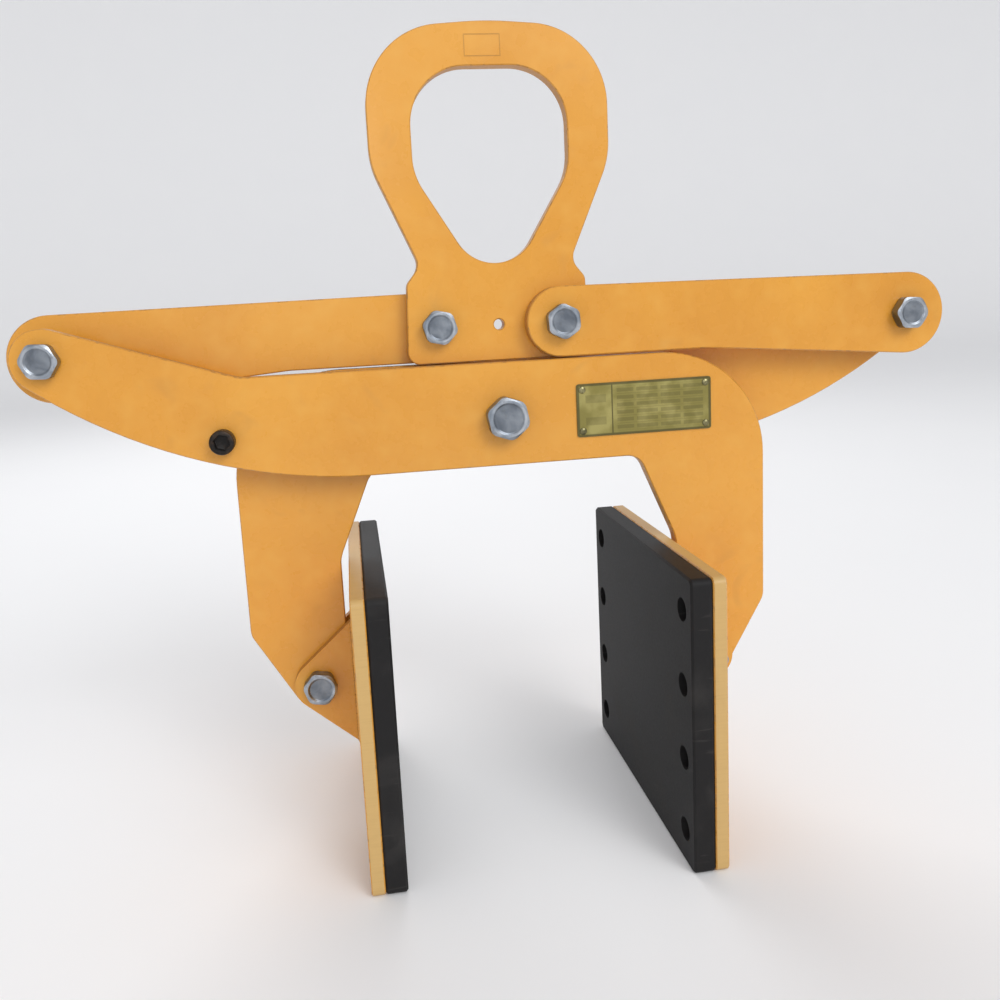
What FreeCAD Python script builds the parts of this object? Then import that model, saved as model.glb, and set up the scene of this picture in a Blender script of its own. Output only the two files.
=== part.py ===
import FreeCAD, Part
import math
import os

import Sketcher
from FreeCAD import Placement, Rotation, Vector

# Scissor clamp, millimetres. X runs from the left wing to the right wing, Y from the front face to the
# back face, Z up. The origin is on the ground under the centre bolt, and the pads stand on the ground.
# Three layers of plate lie one behind the other. The front layer holds the front arm, whose eye is at
# the left and whose jaw is at the right, and the right link. The lifting ring is the middle layer. The
# back layer holds the back arm and the left link: it is the front layer turned half round the Z axis.

# Driving dimensions, each with its own cell
DIMENSIONS = [
    # Plates and the gaps between them
    ("plate_thickness", 12, "arms, links and ring"),
    ("plate_gap", 0.5, "between neighbouring layers"),
    ("face_gap", 0.1, "between a fastener or bush and a plate that turns on it"),
    ("running_clearance", 0.05, "radial, pin in bush"),
    ("press_clearance", 0.02, "radial, bush in plate and nut on thread"),
    ("hole_clearance", 0.1, "radial, bolt in the plate that it is clamped to"),
    ("edge_break", 0.8, "broken edges of cut plates"),
    # Centre pivot and arms
    ("pivot_height", 323, "centre bolt above the ground"),
    ("arm_top", 42, "bar's upper edge above the centre bolt"),
    ("arm_drop", 37, "bar's lower edge below the centre bolt"),
    ("eye_reach", 328, "outer link bolt from the centre bolt"),
    ("eye_rise", 62, "outer link bolt above the centre bolt"),
    ("eye_radius", 22.5, "arm's outer end"),
    ("wing_kink_radius", 35, "round of that kink"),
    ("wing_belly_lead", 21, "wing's lower edge starts to rise this far beyond the stop screw"),
    ("leg_outset", 51, "jaw leg's outer edge past the pad bolt"),
    ("leg_corner_radius", 84, "arm's upper corner over the jaw leg"),
    ("leg_bend_drop", 162, "where the leg starts to taper"),
    ("leg_bend_radius", 16, "round of that bend"),
    ("leg_root_reach", 104, "inner corner between bar and leg"),
    ("leg_root_radius", 15, "round of that corner"),
    ("leg_knee_drop", 106, "where the leg's inner edge turns upright"),
    ("leg_knee_radius", 30, "round of that turn"),
    # Jaw pivot
    ("leg_pad_gap", 6, "between the leg's end and the pad's back plate"),
    ("jaw_drop", 205, "pad bolt below the centre bolt"),
    ("leg_end_radius", 23, "leg's lower end"),
    # Links
    ("ring_bolt_reach", 46, "inner link bolts from the centre"),
    ("ring_bolt_rise", 70, "inner link bolts above the centre bolt"),
    ("link_outer_radius", 32, "link's outer end"),
    ("link_inner_radius", 26.5, "link's inner end"),
    ("link_belly_reach", 160, "where the link's lower edge starts to slope"),
    ("link_belly_radius", 60, "round of that corner"),
    # Lifting ring
    ("ring_base_width", 142, "foot of the ring"),
    ("ring_base_drop", 24, "foot's lower edge below its bolts"),
    ("ring_base_radius", 9, "foot's lower corners"),
    ("ring_shoulder_width", 137, "foot at its shoulders"),
    ("ring_shoulder_rise", 33, "shoulders above the bolts"),
    ("ring_shoulder_radius", 8, "round of the shoulders"),
    ("ring_neck_width", 116, "ring at its neck"),
    ("ring_neck_rise", 46, "neck above the bolts"),
    ("ring_neck_radius", 12, "round of the neck"),
    ("ring_side_rise", 120, "where the ring's sides turn upright"),
    ("ring_side_radius", 62, "round of the sides"),
    ("ring_width", 180, "ring over its widest part"),
    ("ring_top_rise", 219, "ring's top above its bolts"),
    ("ring_shoulder_fall", 6, "fall from the top to the ring's upper corners"),
    ("ring_corner_radius", 58, "ring's upper corners"),
    ("ring_crown_radius", 260, "round of the top"),
    ("ring_eye_width", 117, "opening over its widest part"),
    ("ring_eye_bottom_rise", 46, "opening's lowest point above the bolts"),
    ("ring_eye_bottom_radius", 32.5, "opening's round bottom"),
    ("ring_eye_side_rise", 112, "where the opening's sides turn upright"),
    ("ring_eye_side_radius", 45, "round of the opening's sides"),
    ("ring_eye_top_rise", 187.5, "opening's upper edge above the bolts"),
    ("ring_eye_corner_radius", 42, "opening's upper corners"),
    ("ring_hole_radius", 4, "small hole between the bolts"),
    ("loop_allowance", 5.8, "sideways room at the right inner bolt"),
    # Bolts, nuts and washers of two sizes
    ("big_bolt_radius", 10, "M20"),
    ("big_bolt_flats", 30, "M20 across flats"),
    ("big_head_height", 12.5, "M20 head"),
    ("big_nut_height", 16, "M20 nut's hexagon"),
    ("big_washer_radius", 18.5, "M20 washer"),
    ("bolt_radius", 8, "M16"),
    ("bolt_flats", 24, "M16 across flats"),
    ("head_height", 10, "M16 head"),
    ("nut_height", 13, "M16 nut's hexagon"),
    ("washer_radius", 15, "M16 washer"),
    ("cover_washer_radius", 20, "wide washer over the ring's roomy hole"),
    ("washer_thickness", 3, "all washers"),
    ("insert_height", 3, "nut's locking collar"),
    ("thread_end", 3, "bolt's end past its nut"),
    # Bushes and spacers
    ("big_bush_wall", 3, "centre bushes"),
    ("bush_wall", 2.5, "other bushes"),
    ("big_spacer_wall", 14, "spacer on the centre bolt"),
    ("spacer_wall", 10, "spacers on the outer bolts"),
    # Opening stop
    ("stop_drop", 3, "stop screw below the centre bolt"),
    ("stop_gap", 0.3, "between the stop sleeve and the other arm"),
    ("stop_sleeve_radius", 11, "sleeve that meets the other arm"),
    ("stop_screw_radius", 6, "M12"),
    ("stop_head_radius", 9, "M12 socket head"),
    ("stop_head_height", 12, "M12 socket head"),
    ("stop_socket_flats", 10, "M12 hexagon socket"),
    ("stop_socket_depth", 6, "M12 hexagon socket"),
    ("stop_nut_flats", 18, "M12 nut"),
    ("stop_nut_height", 10, "M12 nut"),
    # Pads
    ("jaw_opening", 202, "between the rubber faces, fully open"),
    ("rubber_thickness", 16, "pad's facing"),
    ("rubber_edge_break", 1.5, "facing's edges"),
    ("pad_plate_thickness", 10, "pad's back plate"),
    ("pad_width", 240, "pad along Y"),
    ("pad_height", 218, "pad along Z"),
    ("pad_corner_radius", 5, "pad's corners"),
    ("pad_screw_edge", 18, "screw rows from the pad's sides"),
    ("pad_screw_end", 26, "end screws from the pad's top and foot"),
    ("pad_screw_radius", 4, "M8"),
    ("pad_screw_head_radius", 7, "M8 button head"),
    ("pad_screw_head_height", 4.4, "M8 button head"),
    ("pad_screw_socket_flats", 5, "M8 hexagon socket"),
    ("pad_screw_socket_depth", 2.4, "M8 hexagon socket"),
    ("pad_recess_radius", 8.5, "recess for the head"),
    ("pad_recess_depth", 9, "recess for the head"),
    # Lugs on the back plates
    ("lug_thickness", 8, "each lug"),
    ("lug_gap", 0.5, "between lug and leg"),
    ("lug_height", 104, "lug's root on the back plate"),
    ("lug_end_radius", 20, "lug's round end"),
    # Nameplate
    ("nameplate_reach", 109, "centre of the nameplate from the centre bolt"),
    ("nameplate_rise", 1, "its centre above the centre bolt"),
    ("nameplate_width", 108, "nameplate"),
    ("nameplate_height", 41, "nameplate"),
    ("nameplate_thickness", 1, "nameplate"),
    ("nameplate_corner", 2, "nameplate's corner radius"),
    ("rivet_radius", 1.6, "rivet shank"),
    ("rivet_head_radius", 2.8, "rivet head"),
    ("rivet_head_height", 1.2, "rivet head"),
    ("rivet_length", 6, "rivet shank"),
    ("rivet_inset", 4.5, "rivets from the plate's edges"),
]

# Counts and shares, chosen by hand
PAD_SCREW_ROWS = 4
HEX_CORNERS = 6
CROWN_SLOPE = math.sqrt(3)
POINT_CHAMFER_SHARE = 0.1
WING_KINK_SHARE = 0.595
WING_BELLY_ROUND_SHARE = 4.05
RIVET_DOME_SHARE = 0.55
HEXAGON_CORNER_PER_FLAT = 1 / math.sqrt(3)
SQUARE_TO_AXIS = 0.999
HALF = 0.5
HALF_TURN = 180
QUARTER_TURN = 90

doc = FreeCAD.newDocument("ScissorClamp")
sheet = doc.addObject("Spreadsheet::Sheet", "Sizes")
for row, (alias, number, meaning) in enumerate(DIMENSIONS, start=1):
    sheet.set(f"A{row}", alias)
    sheet.set(f"B{row}", str(number))
    sheet.set(f"C{row}", meaning)
    sheet.setAlias(f"B{row}", alias)
doc.recompute()


class Dim:
    """A length with the sheet formula that gives it, so a number and its binding stay together."""

    def __init__(self, value, formula):
        self.value = float(value)
        self.formula = formula

    def __add__(self, other):
        other = as_dim(other)
        return Dim(self.value + other.value, f"({self.formula} + {other.formula})")

    def __sub__(self, other):
        other = as_dim(other)
        return Dim(self.value - other.value, f"({self.formula} - {other.formula})")

    def __mul__(self, other):
        other = as_dim(other)
        return Dim(self.value * other.value, f"({self.formula} * {other.formula})")

    def __truediv__(self, other):
        other = as_dim(other)
        return Dim(self.value / other.value, f"({self.formula} / {other.formula})")

    def __neg__(self):
        return Dim(-self.value, f"(0 - {self.formula})")

    __radd__ = __add__
    __rmul__ = __mul__


def as_dim(number):
    return number if isinstance(number, Dim) else Dim(number, f"({number!r})")


def root(dim):
    return Dim(math.sqrt(dim.value), f"sqrt({dim.formula})")


class Sizes:
    """Every driving dimension by its alias."""


for alias, number, meaning in DIMENSIONS:
    setattr(Sizes, alias, Dim(sheet.get(alias), f"Sizes.{alias}"))
S = Sizes
ZERO = Dim(0, "0")

# Stations along Y, heights and places that follow from the driving dimensions
mid_face = HALF * S.plate_thickness
inner_face = mid_face + S.plate_gap
outer_face = inner_face + S.plate_thickness
arm_mid_y = HALF * (inner_face + outer_face)
centre_z = S.pivot_height
eye_z = centre_z + S.eye_rise
ring_bolt_z = centre_z + S.ring_bolt_rise
bar_top_z = centre_z + S.arm_top
bar_bottom_z = centre_z - S.arm_drop
jaw_z = centre_z - S.jaw_drop
stop_z = centre_z - S.stop_drop
rubber_face_x = HALF * S.jaw_opening
pad_plate_x = rubber_face_x + S.rubber_thickness
pad_back_x = pad_plate_x + S.pad_plate_thickness
jaw_x = pad_back_x + S.leg_pad_gap + S.leg_end_radius
leg_outer_x = jaw_x + S.leg_outset
shoulder_x = leg_outer_x - S.leg_corner_radius
shoulder_z = bar_top_z - S.leg_corner_radius
stop_rise = stop_z - shoulder_z
stop_span = S.leg_corner_radius + S.stop_gap + S.stop_sleeve_radius
stop_x = -(shoulder_x + root(stop_span * stop_span - stop_rise * stop_rise))
belly_x = stop_x - S.wing_belly_lead
belly_radius = (belly_x + S.eye_reach) * WING_BELLY_ROUND_SHARE
lug_inner = HALF * S.plate_thickness + S.lug_gap
lug_outer = lug_inner + S.lug_thickness
link_bottom_z = ring_bolt_z - S.link_inner_radius


def bind(thing, path, dim):
    """Set a property to a sheet formula."""
    thing.setExpression(path, dim.formula)


def place(thing, x=ZERO, y=ZERO, z=ZERO, rotation=None):
    """Give a primitive its place, bound to the sheet, and its turn."""
    thing.Placement = Placement(Vector(x.value, y.value, z.value), rotation or Rotation())
    bind(thing, "Placement.Base.x", x)
    bind(thing, "Placement.Base.y", y)
    bind(thing, "Placement.Base.z", z)


ALONG_Y = Rotation(Vector(1, 0, 0), -QUARTER_TURN)
ALONG_X = Rotation(Vector(0, 1, 0), QUARTER_TURN)
TURNED = Rotation(Vector(0, 0, 1), HALF_TURN)


# Outlines: round ends and corners joined by straight lines, drawn counter-clockwise

def eye(x, z, radius):
    """A round end about a centre."""
    return {"kind": "eye", "x": x, "z": z, "radius": radius}


def corner(x, z, radius=ZERO):
    """A corner, rounded where it has a radius."""
    return {"kind": "corner", "x": x, "z": z, "radius": radius}


def tangent_line(first, second):
    """The straight edge between two elements that keeps both on its left."""
    r1 = first["radius"].value if first["kind"] == "eye" else 0
    r2 = second["radius"].value if second["kind"] == "eye" else 0
    c1 = Vector(first["x"].value, first["z"].value, 0)
    c2 = Vector(second["x"].value, second["z"].value, 0)
    step = c2 - c1
    heading = math.atan2(step.y, step.x) - math.asin((r2 - r1) / step.Length)
    left = Vector(-math.sin(heading), math.cos(heading), 0)
    return c1 - left * r1, c2 - left * r2


def arc_between(centre, radius, start, end, left_turn):
    """An arc from start to end, and the numbers of its first and last points."""
    circle = Part.Circle(centre, Vector(0, 0, 1), radius)
    a = math.atan2(start.y - centre.y, start.x - centre.x)
    b = math.atan2(end.y - centre.y, end.x - centre.x)
    if left_turn:
        return Part.ArcOfCircle(circle, a, b), 1, 2
    return Part.ArcOfCircle(circle, b, a), 2, 1


def bind_constraint(sketch, index, name, dim):
    """Name a constraint and bind it to the sheet."""
    sketch.renameConstraint(index, name)
    sketch.setExpression(f"Constraints.{name}", dim.formula)


def fix_point(sketch, geometry, position, x, z, name):
    """Hold a point at a bound place, measured from the sketch's origin."""
    for kind, dim, letter in (("DistanceX", x, "x"), ("DistanceY", z, "z")):
        index = sketch.addConstraint(Sketcher.Constraint(kind, -1, 1, geometry, position, dim.value))
        bind_constraint(sketch, index, f"{name}_{letter}", dim)


def draw_outline(sketch, elements, name):
    """Draw a closed outline of eyes and corners, with every size bound to the sheet."""
    count = len(elements)
    lines = [tangent_line(elements[i], elements[(i + 1) % count]) for i in range(count)]
    starts = [line[0] for line in lines]
    ends = [line[1] for line in lines]
    arcs = {}
    for i, element in enumerate(elements):
        radius = element["radius"].value
        if radius <= 0:
            continue
        before = ends[i - 1] - starts[i - 1]
        after = ends[i] - starts[i]
        if element["kind"] == "eye":
            centre = Vector(element["x"].value, element["z"].value, 0)
            arcs[i] = (centre, radius, True)
            continue
        u1 = Vector(before).normalize()
        u2 = Vector(after).normalize()
        cross = u1.x * u2.y - u1.y * u2.x
        turn = math.atan2(cross, u1.dot(u2))
        trim = radius * math.tan(abs(turn) / 2)
        apex = Vector(element["x"].value, element["z"].value, 0)
        sign = 1 if turn > 0 else -1
        new_end = apex - u1 * trim
        centre = new_end + Vector(-u1.y, u1.x, 0) * (sign * radius)
        arcs[i] = (centre, radius, turn > 0)
        ends[i - 1] = new_end
        starts[i] = apex + u2 * trim
    line_ids = [sketch.addGeometry(Part.LineSegment(starts[i], ends[i]), False) for i in range(count)]
    for i, element in enumerate(elements):
        before_id = line_ids[i - 1]
        after_id = line_ids[i]
        label = f"{name}_{i}"
        if i not in arcs:
            sketch.addConstraint(Sketcher.Constraint("Coincident", before_id, 2, after_id, 1))
            fix_point(sketch, after_id, 1, element["x"], element["z"], label)
            continue
        centre, radius, left_turn = arcs[i]
        arc, first, last = arc_between(centre, radius, ends[i - 1], starts[i], left_turn)
        arc_id = sketch.addGeometry(arc, False)
        sketch.addConstraint(Sketcher.Constraint("Tangent", before_id, 2, arc_id, first))
        sketch.addConstraint(Sketcher.Constraint("Tangent", arc_id, last, after_id, 1))
        index = sketch.addConstraint(Sketcher.Constraint("Radius", arc_id, radius))
        bind_constraint(sketch, index, f"{label}_radius", element["radius"])
        if element["kind"] == "eye":
            fix_point(sketch, arc_id, 3, element["x"], element["z"], label)
            continue
        apex = Vector(element["x"].value, element["z"].value, 0)
        point_id = sketch.addGeometry(Part.Point(apex), True)
        fix_point(sketch, point_id, 1, element["x"], element["z"], label)
        sketch.addConstraint(Sketcher.Constraint("PointOnObject", point_id, 1, before_id))
        sketch.addConstraint(Sketcher.Constraint("PointOnObject", point_id, 1, after_id))


def draw_circle(sketch, x, z, radius, name):
    """Draw a bound circle."""
    circle = Part.Circle(Vector(x.value, z.value, 0), Vector(0, 0, 1), radius.value)
    index = sketch.addGeometry(circle, False)
    fix_point(sketch, index, 3, x, z, name)
    constraint = sketch.addConstraint(Sketcher.Constraint("Radius", index, radius.value))
    bind_constraint(sketch, constraint, f"{name}_radius", radius)


def new_sketch(body, role, offset, name):
    """A sketch on one of the body's own origin planes, at a bound distance from it."""
    sketch = body.newObject("Sketcher::SketchObject", name)
    plane = [feature for feature in body.Origin.OriginFeatures if feature.Role == role][0]
    sketch.AttachmentSupport = [(plane, "")]
    sketch.MapMode = "FlatFace"
    sketch.AttachmentOffset = Placement(Vector(0, 0, offset.value), Rotation())
    bind(sketch, "AttachmentOffset.Base.z", offset)
    return sketch


def flat_faces(shape, axis):
    """Names of the flat faces that lie square to an axis."""
    names = []
    for number, face in enumerate(shape.Faces, start=1):
        if isinstance(face.Surface, Part.Plane) and abs(face.Surface.Axis.dot(axis)) > SQUARE_TO_AXIS:
            names.append(f"Face{number}")
    return names


def plate(label, role, offset, thickness, outlines, holes=(), edge=None, turned=False):
    """A cut plate: outlines and round holes in one sketch, padded, with its edges broken."""
    body = doc.addObject("PartDesign::Body", label + "_body")
    body.Label = label
    sketch = new_sketch(body, role, offset, label + "_sketch")
    for number, outline in enumerate(outlines):
        draw_outline(sketch, outline, f"outline{number}")
    for number, (x, z, radius) in enumerate(holes):
        draw_circle(sketch, x, z, radius, f"hole{number}")
    pad = body.newObject("PartDesign::Pad", label + "_pad")
    pad.Profile = sketch
    pad.Length = thickness.value
    bind(pad, "Length", thickness)
    doc.recompute()
    if edge is not None:
        axis = Vector(0, 1, 0) if role == "XZ_Plane" else Vector(1, 0, 0)
        chamfer = body.newObject("PartDesign::Chamfer", label + "_edges")
        chamfer.Base = (pad, flat_faces(pad.Shape, axis))
        chamfer.Size = edge.value
        bind(chamfer, "Size", edge)
        body.Tip = chamfer
        doc.recompute()
    body.Placement = Placement(Vector(0, 0, 0), TURNED if turned else Rotation())
    return body


# Round and six-sided pieces on an axis along Y or X

def cylinder(name, radius, length, x, y, z, rotation=ALONG_Y):
    thing = doc.addObject("Part::Cylinder", name)
    bind(thing, "Radius", radius)
    bind(thing, "Height", length)
    place(thing, x, y, z, rotation)
    return thing


def cone(name, radius_start, radius_end, length, x, y, z, rotation=ALONG_Y):
    thing = doc.addObject("Part::Cone", name)
    bind(thing, "Radius1", radius_start)
    bind(thing, "Radius2", radius_end)
    bind(thing, "Height", length)
    place(thing, x, y, z, rotation)
    return thing


def hexagon(name, flats, length, x, y, z, rotation=ALONG_Y):
    thing = doc.addObject("Part::Prism", name)
    thing.Polygon = HEX_CORNERS
    bind(thing, "Circumradius", HEXAGON_CORNER_PER_FLAT * flats)
    bind(thing, "Height", length)
    place(thing, x, y, z, rotation)
    return thing


def cut(name, base, tool):
    thing = doc.addObject("Part::Cut", name)
    thing.Base = base
    thing.Tool = tool
    return thing


def fuse(name, pieces):
    thing = doc.addObject("Part::MultiFuse", name)
    thing.Shapes = pieces
    return thing


def common(name, first, second):
    thing = doc.addObject("Part::MultiCommon", name)
    thing.Shapes = [first, second]
    return thing


def group(label, pieces):
    """Separate solids under one name."""
    thing = doc.addObject("Part::Compound", label + "_group")
    thing.Links = pieces
    thing.Label = label
    return thing


def finish(thing, label, turned=False):
    """Name a piece, and turn it half round the Z axis where it belongs to the back arm."""
    thing.Label = label
    thing.Placement = Placement(Vector(0, 0, 0), TURNED if turned else Rotation())
    return thing


def sleeve(name, outer, inner, length, x, y, z, rotation=ALONG_Y):
    """A plain ring: a washer, bush or spacer."""
    body = cylinder(name + "_outside", outer, length, x, y, z, rotation)
    bore = cylinder(name + "_bore", inner, length, x, y, z, rotation)
    return cut(name + "_ring", body, bore)


def crowned_hexagon(name, flats, length, x, y, z, crown_front, crown_back):
    """A hexagon along Y whose corners are turned off at one or both ends."""
    result = hexagon(name + "_block", flats, length, x, y, z)
    narrow = HALF * flats
    wide = narrow + CROWN_SLOPE * length
    if crown_front:
        result = common(name + "_front", result, cone(name + "_front_cone", narrow, wide, length, x, y, z))
    if crown_back:
        result = common(name + "_back", result, cone(name + "_back_cone", wide, narrow, length, x, y, z))
    return result


BIG = {"radius": S.big_bolt_radius, "flats": S.big_bolt_flats, "head": S.big_head_height,
       "nut": S.big_nut_height}
SMALL = {"radius": S.bolt_radius, "flats": S.bolt_flats, "head": S.head_height, "nut": S.nut_height}


def hex_bolt(label, size, x, z, seat_y, end_y):
    """A hexagon bolt whose head is at the front and whose shank ends at end_y."""
    head_y = seat_y - size["head"]
    head = crowned_hexagon(label + "_head", size["flats"], size["head"], x, head_y, z, True, False)
    tip = POINT_CHAMFER_SHARE * size["radius"]
    shank = cylinder(label + "_shank", size["radius"], end_y - seat_y - tip, x, seat_y, z)
    point = cone(label + "_point", size["radius"], size["radius"] - tip, tip, x, end_y - tip, z)
    return finish(fuse(label + "_bolt", [head, shank, point]), label)


def lock_nut(label, size, x, z, seat_y):
    """A nut with a locking collar, seated at seat_y."""
    bore = size["radius"] + S.press_clearance
    hexagonal = crowned_hexagon(label + "_hexagon", size["flats"], size["nut"], x, seat_y, z, True, True)
    collar = cylinder(label + "_collar", HALF * size["flats"] - size["radius"] * POINT_CHAMFER_SHARE,
                      S.insert_height, x, seat_y + size["nut"], z)
    solid = fuse(label + "_solid", [hexagonal, collar])
    hole = cylinder(label + "_hole", bore, size["nut"] + S.insert_height, x, seat_y, z)
    return finish(cut(label + "_nut", solid, hole), label)


def stack_end(size, seat_y):
    """Where the bolt's end lies when its nut is seated at seat_y."""
    return seat_y + size["nut"] + S.insert_height + S.thread_end


nodes = []


def keep(thing):
    nodes.append(thing)
    return thing


# Centre pivot: one bolt through both arms, a spacer in the ring's layer
def build_centre_pivot():
    washer_y = outer_face + S.face_gap
    nut_y = washer_y + S.washer_thickness
    keep(hex_bolt("centre_bolt", BIG, ZERO, centre_z, -(outer_face + S.face_gap), stack_end(BIG, nut_y)))
    keep(lock_nut("centre_nut", BIG, ZERO, centre_z, nut_y))
    bore = S.big_bolt_radius + S.press_clearance
    washer = sleeve("centre_washer", S.big_washer_radius, bore, S.washer_thickness, ZERO, washer_y, centre_z)
    keep(finish(washer, "centre_washer"))
    spacer = sleeve("centre_spacer", S.big_bolt_radius + S.big_spacer_wall, bore,
                    2 * (inner_face - S.face_gap), ZERO, -(inner_face - S.face_gap), centre_z)
    keep(finish(spacer, "centre_spacer"))


def bush(label, radius, wall, x, y, z, turned=False):
    """A bush pressed into a plate whose front face is at y."""
    outer = radius + S.running_clearance + wall
    ring = sleeve(label, outer, radius + S.running_clearance, S.plate_thickness, x, y, z)
    return keep(finish(ring, label, turned))


def bush_hole(radius, wall):
    return radius + S.running_clearance + wall + S.press_clearance


# Arms: bar, rising wing with its eye, and the jaw's leg, cut from one plate
def build_arm(side, turned):
    outline = [
        eye(-S.eye_reach, eye_z, S.eye_radius),
        corner(belly_x, bar_bottom_z, belly_radius),
        corner(S.leg_root_reach, bar_bottom_z, S.leg_root_radius),
        corner(jaw_x - S.leg_end_radius, centre_z - S.leg_knee_drop, S.leg_knee_radius),
        eye(jaw_x, jaw_z, S.leg_end_radius),
        corner(leg_outer_x, centre_z - S.leg_bend_drop, S.leg_bend_radius),
        corner(leg_outer_x, bar_top_z, S.leg_corner_radius),
        corner(-S.eye_reach * WING_KINK_SHARE, bar_top_z, S.wing_kink_radius),
    ]
    holes = [
        (ZERO, centre_z, bush_hole(S.big_bolt_radius, S.big_bush_wall)),
        (-S.eye_reach, eye_z, S.bolt_radius + S.hole_clearance),
        (jaw_x, jaw_z, bush_hole(S.bolt_radius, S.bush_wall)),
    ]
    if side == "front":
        holes.append((stop_x, stop_z, S.stop_screw_radius + S.hole_clearance))
        for x, z in rivet_places():
            holes.append((x, z, S.rivet_radius + S.hole_clearance))
    keep(plate(f"{side}_arm", "XZ_Plane", inner_face, S.plate_thickness, [outline], holes, S.edge_break,
               turned))
    bush(f"{side}_arm_bush", S.big_bolt_radius, S.big_bush_wall, ZERO, -outer_face, centre_z, turned)
    bush(f"{side}_jaw_bush", S.bolt_radius, S.bush_wall, jaw_x, -outer_face, jaw_z, turned)


# Opening stop: a socket screw and sleeve on the front arm that meet the back arm's shoulder
def build_stop():
    head_y = -(outer_face + S.stop_head_height)
    head = cylinder("stop_head", S.stop_head_radius, S.stop_head_height, stop_x, head_y, stop_z)
    socket = hexagon("stop_socket", S.stop_socket_flats, S.stop_socket_depth, stop_x, head_y, stop_z)
    nut_y = outer_face + S.washer_thickness
    end_y = nut_y + S.stop_nut_height + S.thread_end
    tip = POINT_CHAMFER_SHARE * S.stop_screw_radius
    shank_length = outer_face + end_y - tip
    shank = cylinder("stop_shank", S.stop_screw_radius, shank_length, stop_x, -outer_face, stop_z)
    end_radius = S.stop_screw_radius - tip
    point = cone("stop_point", S.stop_screw_radius, end_radius, tip, stop_x, end_y - tip, stop_z)
    drilled = cut("stop_drilled", head, socket)
    keep(finish(fuse("stop_solid", [drilled, shank, point]), "stop_screw"))
    bore = S.stop_screw_radius + S.press_clearance
    sleeve_y = -(inner_face - S.face_gap)
    roller = sleeve("stop_roller", S.stop_sleeve_radius, bore, outer_face - sleeve_y, stop_x, sleeve_y,
                    stop_z)
    keep(finish(roller, "stop_sleeve"))
    washer = sleeve("stop_disc", 2 * S.stop_screw_radius, bore, S.washer_thickness, stop_x, outer_face,
                    stop_z)
    keep(finish(washer, "stop_washer"))
    block = crowned_hexagon("stop_block", S.stop_nut_flats, S.stop_nut_height, stop_x, nut_y, stop_z, True,
                            True)
    hole = cylinder("stop_nut_hole", bore, S.stop_nut_height, stop_x, nut_y, stop_z)
    keep(finish(cut("stop_nut_cut", block, hole), "stop_nut"))


# Links between the ring and the arms' eyes. The right link is drawn, the left one is it turned
def build_link(side, turned):
    outline = [
        eye(S.ring_bolt_reach, ring_bolt_z, S.link_inner_radius),
        corner(S.link_belly_reach, link_bottom_z, S.link_belly_radius),
        eye(S.eye_reach, eye_z, S.link_outer_radius),
    ]
    holes = [
        (S.ring_bolt_reach, ring_bolt_z, S.bolt_radius + S.hole_clearance),
        (S.eye_reach, eye_z, bush_hole(S.bolt_radius, S.bush_wall)),
    ]
    keep(plate(f"{side}_link", "XZ_Plane", inner_face, S.plate_thickness, [outline], holes, S.edge_break,
               turned))
    bush(f"{side}_link_bush", S.bolt_radius, S.bush_wall, S.eye_reach, -outer_face, eye_z, turned)


# Outer link bolts, through an arm's eye, a spacer in the ring's layer and a link's outer end
def build_outer_bolt(side, x):
    washer_y = outer_face + S.face_gap
    nut_y = washer_y + S.washer_thickness
    seat_y = -(outer_face + S.face_gap)
    keep(hex_bolt(f"{side}_outer_bolt", SMALL, x, eye_z, seat_y, stack_end(SMALL, nut_y)))
    keep(lock_nut(f"{side}_outer_nut", SMALL, x, eye_z, nut_y))
    bore = S.bolt_radius + S.press_clearance
    washer = sleeve(f"{side}_outer_washer", S.washer_radius, bore, S.washer_thickness, x, washer_y, eye_z)
    keep(finish(washer, f"{side}_outer_washer"))
    spacer = sleeve(f"{side}_outer_spacer", S.bolt_radius + S.spacer_wall, bore,
                    2 * (inner_face - S.face_gap), x, -(inner_face - S.face_gap), eye_z)
    keep(finish(spacer, f"{side}_outer_spacer"))


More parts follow.
